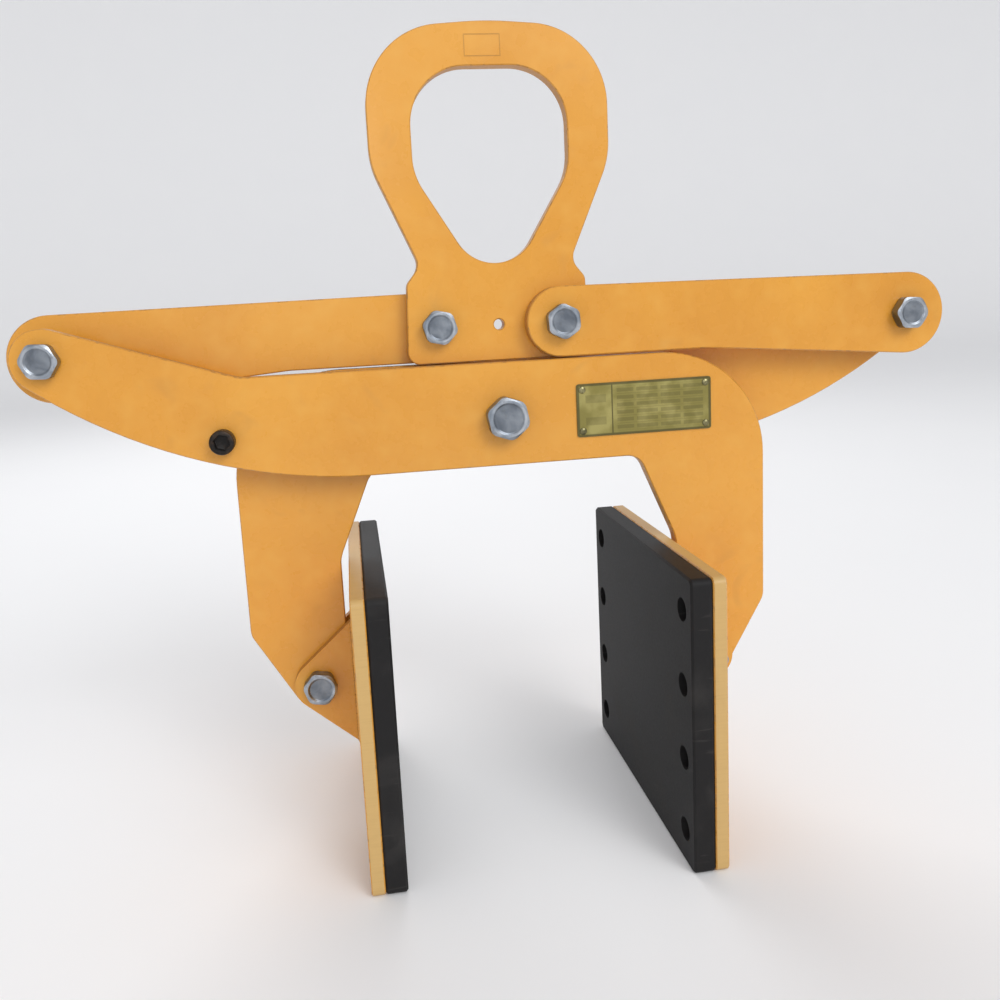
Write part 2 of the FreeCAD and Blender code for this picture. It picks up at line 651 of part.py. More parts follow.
# Lifting ring: foot with two bolts, neck and a round eye for the crane hook
def build_ring():
    half_base = HALF * S.ring_base_width
    half_shoulder = HALF * S.ring_shoulder_width
    half_neck = HALF * S.ring_neck_width
    half_ring = HALF * S.ring_width
    half_eye = HALF * S.ring_eye_width
    top_z = ring_bolt_z + S.ring_top_rise
    upper_corner_z = top_z - S.ring_shoulder_fall
    right = [
        corner(half_base, ring_bolt_z - S.ring_base_drop, S.ring_base_radius),
        corner(half_shoulder, ring_bolt_z + S.ring_shoulder_rise, S.ring_shoulder_radius),
        corner(half_neck, ring_bolt_z + S.ring_neck_rise, S.ring_neck_radius),
        corner(half_ring, ring_bolt_z + S.ring_side_rise, S.ring_side_radius),
        corner(half_ring, upper_corner_z, S.ring_corner_radius),
    ]
    crown = [corner(ZERO, top_z, S.ring_crown_radius)]
    left = [corner(-element["x"], element["z"], element["radius"]) for element in reversed(right)]
    eye_top_z = ring_bolt_z + S.ring_eye_top_rise
    eye_side_z = ring_bolt_z + S.ring_eye_side_rise
    bottom_centre_z = ring_bolt_z + S.ring_eye_bottom_rise + S.ring_eye_bottom_radius
    opening = [
        eye(ZERO, bottom_centre_z, S.ring_eye_bottom_radius),
        corner(half_eye, eye_side_z, S.ring_eye_side_radius),
        corner(half_eye, eye_top_z, S.ring_eye_corner_radius),
        corner(-half_eye, eye_top_z, S.ring_eye_corner_radius),
        corner(-half_eye, eye_side_z, S.ring_eye_side_radius),
    ]
    holes = [
        (-S.ring_bolt_reach, ring_bolt_z, bush_hole(S.bolt_radius, S.bush_wall)),
        (S.ring_bolt_reach, ring_bolt_z, S.bolt_radius + S.loop_allowance),
        (ZERO, ring_bolt_z, S.ring_hole_radius),
    ]
    keep(plate("lifting_ring", "XZ_Plane", -mid_face, S.plate_thickness, [right + crown + left, opening],
               holes, S.edge_break))
    bush("ring_bush", S.bolt_radius, S.bush_wall, -S.ring_bolt_reach, -mid_face, ring_bolt_z)


# Inner link bolts: the left one through ring and left link, the right one through right link and ring
def build_inner_bolts():
    bore = S.bolt_radius + S.press_clearance
    left_washer_y = outer_face
    left_nut_y = left_washer_y + S.washer_thickness
    left_x = -S.ring_bolt_reach
    keep(hex_bolt("left_inner_bolt", SMALL, left_x, ring_bolt_z, -(mid_face + S.face_gap),
                  stack_end(SMALL, left_nut_y)))
    keep(lock_nut("left_inner_nut", SMALL, left_x, ring_bolt_z, left_nut_y))
    washer = sleeve("left_inner_washer", S.washer_radius, bore, S.washer_thickness, left_x, left_washer_y,
                    ring_bolt_z)
    keep(finish(washer, "left_inner_washer"))
    right_washer_y = mid_face + S.face_gap
    right_nut_y = right_washer_y + S.washer_thickness
    right_x = S.ring_bolt_reach
    keep(hex_bolt("right_inner_bolt", SMALL, right_x, ring_bolt_z, -outer_face,
                  stack_end(SMALL, right_nut_y)))
    keep(lock_nut("right_inner_nut", SMALL, right_x, ring_bolt_z, right_nut_y))
    cover = sleeve("right_inner_washer", S.cover_washer_radius, bore, S.washer_thickness, right_x,
                   right_washer_y, ring_bolt_z)
    keep(finish(cover, "right_inner_washer"))


def rectangle(x_low, x_high, z_low, z_high, radius):
    """The four corners of a rounded rectangle."""
    return [corner(x_low, z_low, radius), corner(x_high, z_low, radius),
            corner(x_high, z_high, radius), corner(x_low, z_high, radius)]


def pad_screw_places():
    """Two upright rows of screws, near the pad's front and back edges."""
    places = []
    step = (S.pad_height - 2 * S.pad_screw_end) / (PAD_SCREW_ROWS - 1)
    for side in (-1, 1):
        y = side * (HALF * S.pad_width - S.pad_screw_edge) - arm_mid_y
        for row in range(PAD_SCREW_ROWS):
            places.append((y, S.pad_screw_end + row * step))
    return places


# Pads: rubber facing screwed to a back plate, and two lugs that straddle the leg's end
def build_pad(side, turned):
    y_low = -arm_mid_y - HALF * S.pad_width
    y_high = -arm_mid_y + HALF * S.pad_width
    outline = rectangle(y_low, y_high, ZERO, S.pad_height, S.pad_corner_radius)
    screws = pad_screw_places()
    plate_holes = [(y, z, S.pad_screw_radius + S.press_clearance) for y, z in screws]
    keep(plate(f"{side}_pad_plate", "YZ_Plane", pad_plate_x, S.pad_plate_thickness, [outline], plate_holes,
               S.edge_break, turned))
    facing_holes = [(y, z, S.pad_screw_radius + S.hole_clearance) for y, z in screws]
    facing = plate(f"{side}_pad_rubber", "YZ_Plane", rubber_face_x, S.rubber_thickness, [outline],
                   facing_holes, S.rubber_edge_break, turned)
    recess = new_sketch(facing, "YZ_Plane", rubber_face_x, f"{side}_recess_sketch")
    for number, (y, z) in enumerate(screws):
        draw_circle(recess, y, z, S.pad_recess_radius, f"recess{number}")
    pocket = facing.newObject("PartDesign::Pocket", f"{side}_recesses")
    pocket.Profile = recess
    pocket.Reversed = True
    pocket.Length = S.pad_recess_depth.value
    bind(pocket, "Length", S.pad_recess_depth)
    before = facing.Shape.Volume
    facing.Tip = pocket
    doc.recompute()
    if facing.Shape.Volume >= before:
        raise RuntimeError(f"{side}_recesses cut nothing")
    keep(facing)
    pieces = []
    for number, (y, z) in enumerate(screws):
        name = f"{side}_pad_screw{number}"
        head_x = rubber_face_x + S.pad_recess_depth - S.pad_screw_head_height
        head = cylinder(name + "_head", S.pad_screw_head_radius, S.pad_screw_head_height, head_x, y, z,
                        ALONG_X)
        socket = hexagon(name + "_socket", S.pad_screw_socket_flats, S.pad_screw_socket_depth, head_x, y, z,
                         ALONG_X)
        drilled = cut(name + "_drilled", head, socket)
        shank = cylinder(name + "_shank", S.pad_screw_radius, pad_back_x - head_x - S.pad_screw_head_height,
                         head_x + S.pad_screw_head_height, y, z, ALONG_X)
        pieces.append(fuse(name + "_solid", [drilled, shank]))
    keep(finish(group(f"{side}_pad_screws", pieces), f"{side}_pad_screws", turned))
    lug_outline = [
        corner(pad_back_x, jaw_z - HALF * S.lug_height),
        eye(jaw_x, jaw_z, S.lug_end_radius),
        corner(pad_back_x, jaw_z + HALF * S.lug_height),
    ]
    hole = [(jaw_x, jaw_z, S.bolt_radius + S.hole_clearance)]
    front_lug = plate(f"{side}_front_lug", "XZ_Plane", arm_mid_y + lug_inner, S.lug_thickness, [lug_outline],
                      hole)
    back_lug = plate(f"{side}_back_lug", "XZ_Plane", arm_mid_y - lug_outer, S.lug_thickness, [lug_outline],
                     hole)
    keep(finish(group(f"{side}_pad_lugs", [front_lug, back_lug]), f"{side}_pad_lugs", turned))


# Pad bolts, through two lugs and the leg's end
def build_jaw_bolt(side, x, mid_y):
    nut_y = mid_y + lug_outer + S.washer_thickness
    keep(hex_bolt(f"{side}_jaw_bolt", SMALL, x, jaw_z, mid_y - lug_outer, stack_end(SMALL, nut_y)))
    keep(lock_nut(f"{side}_jaw_nut", SMALL, x, jaw_z, nut_y))
    washer = sleeve(f"{side}_jaw_washer", S.washer_radius, S.bolt_radius + S.press_clearance,
                    S.washer_thickness, x, mid_y + lug_outer, jaw_z)
    keep(finish(washer, f"{side}_jaw_washer"))


def nameplate_z():
    return centre_z + S.nameplate_rise


def rivet_places():
    """The four corners of the nameplate, drawn in by the rivets' inset."""
    half_width = HALF * S.nameplate_width - S.rivet_inset
    half_height = HALF * S.nameplate_height - S.rivet_inset
    return [(S.nameplate_reach + sx * half_width, nameplate_z() + sz * half_height)
            for sx in (-1, 1) for sz in (-1, 1)]


# Nameplate on the front arm, with four drive rivets
def build_nameplate():
    half_width = HALF * S.nameplate_width
    half_height = HALF * S.nameplate_height
    outline = rectangle(S.nameplate_reach - half_width, S.nameplate_reach + half_width,
                        nameplate_z() - half_height, nameplate_z() + half_height, S.nameplate_corner)
    holes = [(x, z, S.rivet_radius + S.press_clearance) for x, z in rivet_places()]
    keep(plate("nameplate", "XZ_Plane", outer_face, S.nameplate_thickness, [outline], holes))
    face_y = -(outer_face + S.nameplate_thickness)
    pieces = []
    for number, (x, z) in enumerate(rivet_places()):
        name = f"rivet{number}"
        dome = cone(name + "_head", RIVET_DOME_SHARE * S.rivet_head_radius, S.rivet_head_radius,
                    S.rivet_head_height, x, face_y - S.rivet_head_height, z)
        shank = cylinder(name + "_shank", S.rivet_radius, S.rivet_length, x, face_y, z)
        pieces.append(fuse(name + "_solid", [dome, shank]))
    keep(finish(group("nameplate_rivets", pieces), "nameplate_rivets"))


build_centre_pivot()
for side, turned in (("front", False), ("back", True)):
    build_arm(side, turned)
build_stop()
for side, turned in (("right", False), ("left", True)):
    build_link(side, turned)
    build_pad(side, turned)
build_outer_bolt("left", -S.eye_reach)
build_outer_bolt("right", S.eye_reach)
build_ring()
build_inner_bolts()
build_jaw_bolt("right", jaw_x, -arm_mid_y)
build_jaw_bolt("left", -jaw_x, arm_mid_y)
build_nameplate()
doc.recompute()

# Every object and every sub-part is sound before anything is written
for thing in doc.Objects:
    if "Invalid" in thing.State or "Error" in thing.State:
        raise RuntimeError(f"{thing.Label} failed: {thing.State}")
for node in nodes:
    if node.Shape.isNull() or not node.Shape.isValid():
        raise RuntimeError(f"{node.Label} has no sound shape")

os.makedirs("parts", exist_ok=True)
for node in nodes:
    node.Shape.exportStep(f"parts/{node.Label}.step")
    box = node.Shape.BoundBox
    print(f"{node.Label:22s} solids {len(node.Shape.Solids)} volume {node.Shape.Volume:10.1f} "
          f"x {box.XMin:7.1f} {box.XMax:7.1f} y {box.YMin:7.1f} {box.YMax:7.1f} "
          f"z {box.ZMin:7.1f} {box.ZMax:7.1f}")
print(len(nodes), "nodes")
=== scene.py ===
"""Scissor lifting clamp: two crossed plate arms, two links, a lifting ring and two rubber-faced pads.

Every length is in metres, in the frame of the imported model. X runs from the left wing to the right wing,
Y from the front to the back and Z up. The pads stand on the floor and the ring is lowered.
"""

from __future__ import annotations

import logging
import math
from dataclasses import dataclass, field
from enum import Enum
from typing import Any, Callable, Iterable, Mapping, Protocol, Sequence, Union

import bmesh
import bpy
from bmesh.types import BMesh, BMVert
from bpy.types import Light, Material, Mesh, Node, NodeSocket, NodeTree, Object
from mathutils import Euler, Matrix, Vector


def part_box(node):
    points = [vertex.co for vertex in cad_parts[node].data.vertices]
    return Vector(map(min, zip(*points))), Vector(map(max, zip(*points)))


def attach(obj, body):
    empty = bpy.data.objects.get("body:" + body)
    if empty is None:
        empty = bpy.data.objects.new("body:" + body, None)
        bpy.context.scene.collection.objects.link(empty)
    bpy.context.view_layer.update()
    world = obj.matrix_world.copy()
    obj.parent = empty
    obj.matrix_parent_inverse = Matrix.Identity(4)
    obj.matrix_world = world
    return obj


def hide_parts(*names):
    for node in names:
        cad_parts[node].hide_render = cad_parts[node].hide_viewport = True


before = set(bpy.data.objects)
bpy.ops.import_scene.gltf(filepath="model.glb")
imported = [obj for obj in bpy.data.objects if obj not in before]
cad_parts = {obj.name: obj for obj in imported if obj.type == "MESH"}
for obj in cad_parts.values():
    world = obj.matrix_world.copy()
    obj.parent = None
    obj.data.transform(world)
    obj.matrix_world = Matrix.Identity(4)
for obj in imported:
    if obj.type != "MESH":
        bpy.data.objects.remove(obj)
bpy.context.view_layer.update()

LOG = logging.getLogger("scissor_clamp")
MM = 0.001
MERGE_DISTANCE = 1e-6
FULL_TURN = 2.0 * math.pi
SIXTH_TURN = math.radians(60.0)
CROWN_SLOPE = math.tan(math.radians(30.0))
SMOOTH_ANGLE = math.radians(24.0)

Colour = tuple[float, float, float]
Place = tuple[float, float, float]
Span = tuple[float, float]
Curve = tuple[Span, ...]


class Slot(Enum):
    """Names of the record's material slots, passed along with new pieces."""

    PAINT = "yellow_paint"
    ZINC = "zinc_plate"
    BLACK = "black_oxide"


class Side(Enum):
    """The side of the clamp that a link or a pad is on, with its sign along X."""

    LEFT = -1
    RIGHT = 1

    @property
    def word(self) -> str:
        """The side's word in the node names."""
        return self.name.lower()


class Axis(Enum):
    """The axis square to a plate's broad faces, or along a fastener."""

    X = 0
    Y = 1
    Z = 2


# Node boards


def _sum(operation: str, swapped: bool = False) -> Callable[[Wire, Term], Wire]:
    """An operator of Wire that adds a Math node.

    Args:
        operation: the node's operation.
        swapped: whether the other term comes first.

    Returns:
        The operator's method.
    """

    def apply(wire: Wire, other: Term) -> Wire:
        """Add the node."""
        return wire.board.math(operation, *((other, wire) if swapped else (wire, other)))

    return apply


class Wire:
    """One output of a node, with the sums that Python writes on it; a comparison gives 1 or 0."""

    __add__ = __radd__ = _sum("ADD")
    __sub__, __rsub__ = _sum("SUBTRACT"), _sum("SUBTRACT", swapped=True)
    __mul__ = __rmul__ = _sum("MULTIPLY")
    __truediv__, __rtruediv__ = _sum("DIVIDE"), _sum("DIVIDE", swapped=True)
    __lt__, __gt__ = _sum("LESS_THAN"), _sum("GREATER_THAN")

    def __init__(self, board: Board, socket: NodeSocket) -> None:
        """Keep the socket and the board it belongs to."""
        self.board, self.socket = board, socket

    def __abs__(self) -> Wire:
        """Size without its sign."""
        return self.board.math("ABSOLUTE", self)


Term = Union[Wire, float, int]


class Board:
    """A node tree that is filled by plain calls."""

    def __init__(self, tree: NodeTree) -> None:
        """Start with an empty tree."""
        self.tree = tree
        tree.nodes.clear()

    def node(self, kind: str, settings: Mapping[str, Any], inputs: Mapping[Any, Any]) -> Node:
        """Add one node.

        Args:
            kind: the node's type.
            settings: its own properties, set before anything is joined.
            inputs: a value or a Wire for each input, by name or by number.

        Returns:
            The new node.
        """
        made = self.tree.nodes.new(kind)
        for name, value in settings.items():
            setattr(made, name, value)
        for key, value in inputs.items():
            if isinstance(value, Wire):
                self.tree.links.new(value.socket, made.inputs[key])
            else:
                made.inputs[key].default_value = value
        return made

    def wire(self, kind: str, settings: Mapping[str, Any], inputs: Mapping[Any, Any], out: Any = 0) -> Wire:
        """Add one node and take one of its outputs."""
        return Wire(self, self.node(kind, settings, inputs).outputs[out])

    def math(self, operation: str, *terms: Term) -> Wire:
        """Add a Math node on one or two terms."""
        return self.wire("ShaderNodeMath", {"operation": operation}, dict(enumerate(terms)))

    def clip(self, value: Wire) -> Wire:
        """A number held between 0 and 1."""
        return self.math("MINIMUM", self.math("MAXIMUM", value, 0.0), 1.0)

    def split(self, vector: Wire) -> list[Wire]:
        """The three parts of a vector."""
        return [Wire(self, part) for part in self.node("ShaderNodeSeparateXYZ", {}, {0: vector}).outputs]

    def join(self, x: Term, y: Term, z: Term) -> Wire:
        """A vector from three parts."""
        return self.wire("ShaderNodeCombineXYZ", {}, {0: x, 1: y, 2: z})

    def step(self, value: Wire, low: float, high: float, top: float = 1.0) -> Wire:
        """A smooth step, which falls where low is above high.

        Args:
            value: what is measured.
            low: where the step is 0.
            high: where it is at its top.
            top: how high that is.

        Returns:
            0 to the top.
        """
        ends = (0.0, top) if low < high else (top, 0.0)
        inputs = dict(enumerate((value, min(low, high), max(low, high), *ends)))
        return self.wire("ShaderNodeMapRange", {"interpolation_type": "SMOOTHSTEP"}, inputs)


@dataclass(frozen=True)
class Cloud:
    """A cloudy pattern, and the patches of a colour that it lays on.

    The scale is in clouds per metre, one for all axes or one for each. Patches begin where the pattern is
    at start, are full at full, and cover the share of what is under them.
    """

    scale: float | Place
    detail: float = 3.0
    warp: float = 0.0
    start: float = 0.0
    full: float = 1.0
    share: float = 1.0


class PaintBoard(Board):
    """A material's nodes around one Principled shader."""

    def __init__(self, name: str) -> None:
        """Start a material.

        Args:
            name: the material's name.
        """
        self.material = bpy.data.materials.new(name)
        self.material.use_nodes = True
        super().__init__(self.material.node_tree)
        coordinates = self.node("ShaderNodeTexCoord", {}, {})
        self.place = Wire(self, coordinates.outputs["Object"])
        self.facing = Wire(self, coordinates.outputs["Normal"])

    def noise(self, cloud: Cloud) -> Wire:
        """Cloudy noise.

        Args:
            cloud: the pattern.

        Returns:
            The noise, between 0 and 1.
        """
        place, scale = self.place, cloud.scale
        if isinstance(scale, tuple):
            place = self.wire("ShaderNodeVectorMath", {"operation": "MULTIPLY"}, {0: place, 1: scale})
            scale = 1.0
        inputs = {"Vector": place, "Scale": scale, "Detail": cloud.detail, "Distortion": cloud.warp}
        return self.wire("ShaderNodeTexNoise", {}, inputs)

    def patches(self, cloud: Cloud, noise: Wire | None = None) -> Wire:
        """The patches of a pattern, on its own noise or on one that is there already."""
        return self.step(noise or self.noise(cloud), cloud.start, cloud.full, cloud.share)

    def blend(self, factor: Term, first: Wire | Colour, second: Wire | Colour) -> Wire:
        """A colour between two colours."""
        inputs = {0: factor, 6: self._colour(first), 7: self._colour(second)}
        return self.wire("ShaderNodeMix", {"data_type": "RGBA"}, inputs, out=2)

    @staticmethod
    def _colour(value: Wire | Colour) -> Any:
        """A colour as an input takes it."""
        return value if isinstance(value, Wire) else (*value, 1.0)

    def bump(self, height: Wire, distance: float) -> Wire:
        """A bumped normal, where distance is what a height of 1 means, in metres."""
        return self.wire("ShaderNodeBump", {}, {"Height": height, "Distance": distance, "Strength": 1.0})

    def close(self, **inputs: Any) -> Material:
        """Join the shader to the output and give the material.

        Args:
            **inputs: the shader's inputs, with _ for each space in their names.

        Returns:
            The material.
        """
        named = {key.replace("_", " "): value for key, value in inputs.items()}
        self.node("ShaderNodeOutputMaterial", {}, {0: self.wire("ShaderNodeBsdfPrincipled", {}, named)})
        return self.material


# Finishes


class Finish(Protocol):
    """Anything with a name that can build a material."""

    name: str

    def material(self) -> Material:
        """Build the finish."""


@dataclass(frozen=True)
class Panel:
    """A framed rectangle on a plate's front face, for a stamp or a print that is left blank."""

    x: float
    z: float
    half_width: float
    half_height: float
    line: float

    def frame_mask(self, x: Wire, z: Wire) -> Wire:
        """Where the frame's line is.

        Args:
            x: the place along X.
            z: the place along Z.

        Returns:
            1 on the line and 0 elsewhere.
        """
        across, up = abs(x - self.x), abs(z - self.z)
        outside = (across < self.half_width) * (up < self.half_height)
        inside = (across < self.half_width - self.line) * (up < self.half_height - self.line)
        return outside - inside


@dataclass(frozen=True)
class Enamel:
    """Orange-yellow enamel, brushed and sprayed over profile-cut plate.

    How flat a place lies, from 0 on the cut edge to 1 on the broad faces, tells the cut edge and the
    broken corners beside it. The cutter's lines run across the edge.
    """

    name: str
    axis: Axis = Axis.Y
    stamp: Panel | None = None
    colour: Colour = (0.76, 0.350, 0.043)
    deep: Colour = (0.64, 0.262, 0.026)
    pale: Colour = (0.81, 0.43, 0.080)
    # The cut edge's colour: the thin paint on the raw edge, darkened further as painted shade.
    edge: Colour = (0.50, 0.23, 0.045)
    worn: Colour = (0.30, 0.14, 0.04)
    soot: Colour = (0.25, 0.12, 0.03)
    grain: float = 0.16
    clouds: Cloud = Cloud(7.0, warp=0.4, start=0.35, full=0.80, share=0.75)
    mottle: Cloud = Cloud(60.0, detail=4.0, start=0.45, full=0.80, share=0.30)
    chips: Cloud = Cloud(240.0, detail=4.0, start=0.52, full=0.66, share=0.45)
    dirt: Cloud = Cloud(28.0, detail=5.0, warp=0.8, start=0.60, full=0.80)
    peel: Cloud = Cloud(520.0, detail=2.0)
    runs: Cloud = Cloud((45.0, 45.0, 9.0), detail=2.0)
    line_scale: float = 1100.0
    line_drag: float = 30.0
    line_band: Span = (0.40, 0.75)
    cut_band: Span = (0.62, 0.30)
    corner_band: Span = (0.35, 0.60)
    face_band: Span = (0.97, 0.85)
    front: float = -0.9
    relief: float = 0.22 * MM

    def material(self) -> Material:
        """Build the finish.

        Returns:
            The material.
        """
        board = PaintBoard(self.name)
        parts = board.split(board.facing)
        flat = abs(parts[self.axis.value])
        cut = board.step(flat, *self.cut_band)
        broken = board.step(flat, *self.corner_band) * board.step(flat, *self.face_band)
        scales = tuple(self.line_drag if axis is self.axis else self.line_scale for axis in Axis)
        lines, mottle = board.noise(Cloud(scales, detail=2.0)), board.noise(self.mottle)
        dirt = board.patches(self.dirt)
        tone = board.blend(board.patches(self.clouds), self.colour, self.deep)
        tone = board.blend(board.patches(self.mottle, mottle), tone, self.pale)
        # Cut edges take the edge colour, which carries painted shade.
        tone = board.blend(cut, tone, self.edge)
        tone = board.blend(cut * board.step(lines, *self.line_band) * self.grain, tone, self.worn)
        tone = board.blend(broken * (0.20 + board.patches(self.chips)), tone, self.worn)
        tone = board.blend(dirt * 0.14, tone, self.soot)
        height = board.noise(self.peel) * 0.10 + board.noise(self.runs) * 0.55
        height = height + cut * lines * (self.grain * 2.8)
        if self.stamp is not None:
            x, _, z = board.split(board.place)
            line = self.stamp.frame_mask(x, z) * (parts[Axis.Y.value] < self.front)
            tone = board.blend(line * 0.38, tone, self.soot)
            height = height - line * 1.5
        return board.close(
            Base_Color=tone,
            Roughness=0.20 + mottle * 0.16 + cut * 0.20 + dirt * 0.20,
            Specular_IOR_Level=0.42,
            Coat_Weight=0.30 - cut * 0.20,
            Coat_Roughness=0.10,
            Normal=board.bump(height, self.relief),
        )


@dataclass(frozen=True)
class Zinc:
    """Bright zinc plate with a bluish passivated tint."""

    name: str = "zinc plated steel"
    cool: Colour = (0.27, 0.31, 0.36)
    bright: Colour = (0.58, 0.61, 0.65)
    warm: Colour = (0.46, 0.42, 0.37)
    soot: Colour = (0.10, 0.09, 0.08)
    sheen: Cloud = Cloud(80.0, warp=0.5, start=0.25, full=0.80)
    spangle: Cloud = Cloud(520.0, start=0.50, full=0.80, share=0.25)
    scratches: Cloud = Cloud((1500.0, 180.0, 160.0), warp=0.2)
    grime: Cloud = Cloud(130.0, detail=4.0, start=0.58, full=0.74)
    relief: float = 0.05 * MM

    def material(self) -> Material:
        """Build the finish.

        Returns:
            The material.
        """
        board = PaintBoard(self.name)
        sheen, spangle, scratches = map(board.noise, (self.sheen, self.spangle, self.scratches))
        grime = board.patches(self.grime)
        tone = board.blend(board.patches(self.sheen, sheen), self.cool, self.bright)
        tone = board.blend(board.patches(self.spangle, spangle), tone, self.warm)
        return board.close(
            Base_Color=board.blend(grime * 0.30, tone, self.soot),
            Metallic=1.0,
            Roughness=0.22 + spangle * 0.16 + scratches * 0.12 + grime * 0.20,
            Normal=board.bump(spangle * 0.5 + scratches * 0.3 + sheen * 0.2, self.relief),
        )


@dataclass(frozen=True)
class BlackOxide:
    """Oiled black oxide on screws."""

    name: str = "black oxide steel"
    dark: Colour = (0.012, 0.010, 0.009)
    brown: Colour = (0.055, 0.032, 0.018)
    stains: Cloud = Cloud(160.0, detail=4.0, warp=0.6, start=0.42, full=0.72)
    grain: Cloud = Cloud(900.0, detail=2.0)
    relief: float = 0.03 * MM

    def material(self) -> Material:
        """Build the finish.

        Returns:
            The material.
        """
        board = PaintBoard(self.name)
        stains = board.noise(self.stains)
        return board.close(
            Base_Color=board.blend(board.patches(self.stains, stains), self.dark, self.brown),
            Metallic=0.55,
            Roughness=0.30 + stains * 0.25,
            Normal=board.bump(board.noise(self.grain), self.relief),
        )


@dataclass(frozen=True)
class Rubber:
    """Black moulded rubber with a dry skin and scuffs."""

    name: str = "moulded rubber"
    dark: Colour = (0.0120, 0.0112, 0.0115)
    dusty: Colour = (0.072, 0.067, 0.062)
    skin: Cloud = Cloud(650.0)
    bloom: Cloud = Cloud(16.0, detail=5.0, warp=1.0, start=0.50, full=0.78, share=0.35)
    scuffs: Cloud = Cloud((30.0, 30.0, 260.0), detail=4.0, warp=0.3, start=0.62, full=0.74, share=0.30)
    relief: float = 0.12 * MM

    def material(self) -> Material:
        """Build the finish.

        Returns:
            The material.
        """
        board = PaintBoard(self.name)
        skin, scuffs = board.noise(self.skin), board.noise(self.scuffs)
        dust = board.patches(self.bloom) + board.patches(self.scuffs, scuffs)
        return board.close(
            Base_Color=board.blend(dust, self.dark, self.dusty),
            Roughness=0.52 + skin * 0.12 + dust * 0.30,
            Specular_IOR_Level=0.22,
            Normal=board.bump(skin * 0.5 + scuffs * 0.25, self.relief),
        )


@dataclass(frozen=True)
class Bronze:
    """Turned bearing bronze."""

    name: str = "bearing bronze"
    fresh: Colour = (0.60, 0.36, 0.14)
    dull: Colour = (0.28, 0.16, 0.07)
    stains: Cloud = Cloud(120.0, detail=4.0, start=0.40, full=0.70)
    grain: Cloud = Cloud(1200.0, detail=1.0)
    relief: float = 0.02 * MM

    def material(self) -> Material:
        """Build the finish.

        Returns:
            The material.
        """
        board = PaintBoard(self.name)
        stains = board.noise(self.stains)
        return board.close(
            Base_Color=board.blend(board.patches(self.stains, stains), self.fresh, self.dull),
            Metallic=1.0,
            Roughness=0.28 + stains * 0.25,
            Normal=board.bump(board.noise(self.grain), self.relief),
        )


@dataclass(frozen=True)
class Nylon:
    """The ring of nylon in a locking nut."""

    name: str = "nylon insert"
    colour: Colour = (0.62, 0.64, 0.60)
    shade: Colour = (0.40, 0.42, 0.40)
    grain: Cloud = Cloud(420.0, start=0.35, full=0.75)
    relief: float = 0.04 * MM

    def material(self) -> Material:
        """Build the finish.

        Returns:
            The material.
        """
        board = PaintBoard(self.name)
        grain = board.noise(self.grain)
        return board.close(
            Base_Color=board.blend(board.patches(self.grain, grain), self.colour, self.shade),
            Roughness=0.42 + grain * 0.12,
            Normal=board.bump(grain, self.relief),
        )


@dataclass(frozen=True)
class PrintedPlate:
    """An olive nameplate with a thin frame, a divider and rows of blank fields.

    The print is measured from the plate's middle, in shares of its half width and half height.
    """

    plate: Panel
    name: str = "printed nameplate"
    ground: Colour = (0.235, 0.200, 0.045)
    faded: Colour = (0.37, 0.32, 0.10)
    ink: Colour = (0.070, 0.058, 0.012)
    side_edge: Span = (0.955, 0.97)
    top_edge: Span = (0.89, 0.93)
    divider: float = -0.48
    divider_line: float = 0.010
    gutter: float = 0.07
    row_end: float = 0.88
    margin: float = 0.84
    rows: int = 6
    rule_start: float = 0.46
    field_half: float = 0.25
    columns: tuple[float, ...] = (-0.14, 0.22, 0.56)
    column_gap: float = 0.022
    heading: Span = (-0.72, 0.42)
    heading_half: float = 0.15
    fading: Cloud = Cloud(70.0, detail=4.0, start=0.38, full=0.70)
    relief: float = 0.05 * MM

    def material(self) -> Material:
        """Build the finish.

        Returns:
            The material.
        """
        board = PaintBoard(self.name)
        x, _, z = board.split(board.place)
        right = (x - self.plate.x) / self.plate.half_width
        up = (z - self.plate.z) / self.plate.half_height
        sides, ends = board.step(abs(right), *self.side_edge), board.step(abs(up), *self.top_edge)
        lines = board.math("MAXIMUM", sides, ends) + (abs(right - self.divider) < self.divider_line)
        row = board.math("FRACT", (up + self.margin) * (self.rows / (2.0 * self.margin)))
        off = abs(row - 0.5)
        in_rows = (right > self.divider + self.gutter) * (right < self.row_end) * (abs(up) < self.margin)
        gaps = sum((abs(right - column) < self.column_gap for column in self.columns), 0.0)
        rules, fields = (off > self.rule_start) * in_rows, (off < self.field_half) * in_rows * (1.0 - gaps)
        across, above = self.heading
        heading = (abs(right - across) < self.heading_half) * (abs(abs(up) - above) < self.heading_half)
        ink = board.math("MINIMUM", lines + rules * 0.30 + fields * 0.42 + heading * 0.35, 1.0)
        fading = board.noise(self.fading)
        tone = board.blend(board.patches(self.fading, fading), self.ground, self.faded)
        return board.close(
            Base_Color=board.blend(ink * 0.80, tone, self.ink),
            Metallic=0.25,
            Roughness=0.34 + fading * 0.16,
            Normal=board.bump(ink * 0.8 + fading * 0.4, self.relief),
        )


@dataclass(frozen=True)
class StudioFloor:
    """Plain pale floor and wall."""

    name: str = "studio floor"
    colour: Colour = (0.90, 0.90, 0.90)
    shade: Colour = (0.885, 0.885, 0.89)
    clouds: Cloud = Cloud(3.0, detail=2.0)

    def material(self) -> Material:
        """Build the finish.

        Returns:
            The material.
        """
        board = PaintBoard(self.name)
        tone = board.blend(board.noise(self.clouds), self.colour, self.shade)
        return board.close(Base_Color=tone, Roughness=0.75)


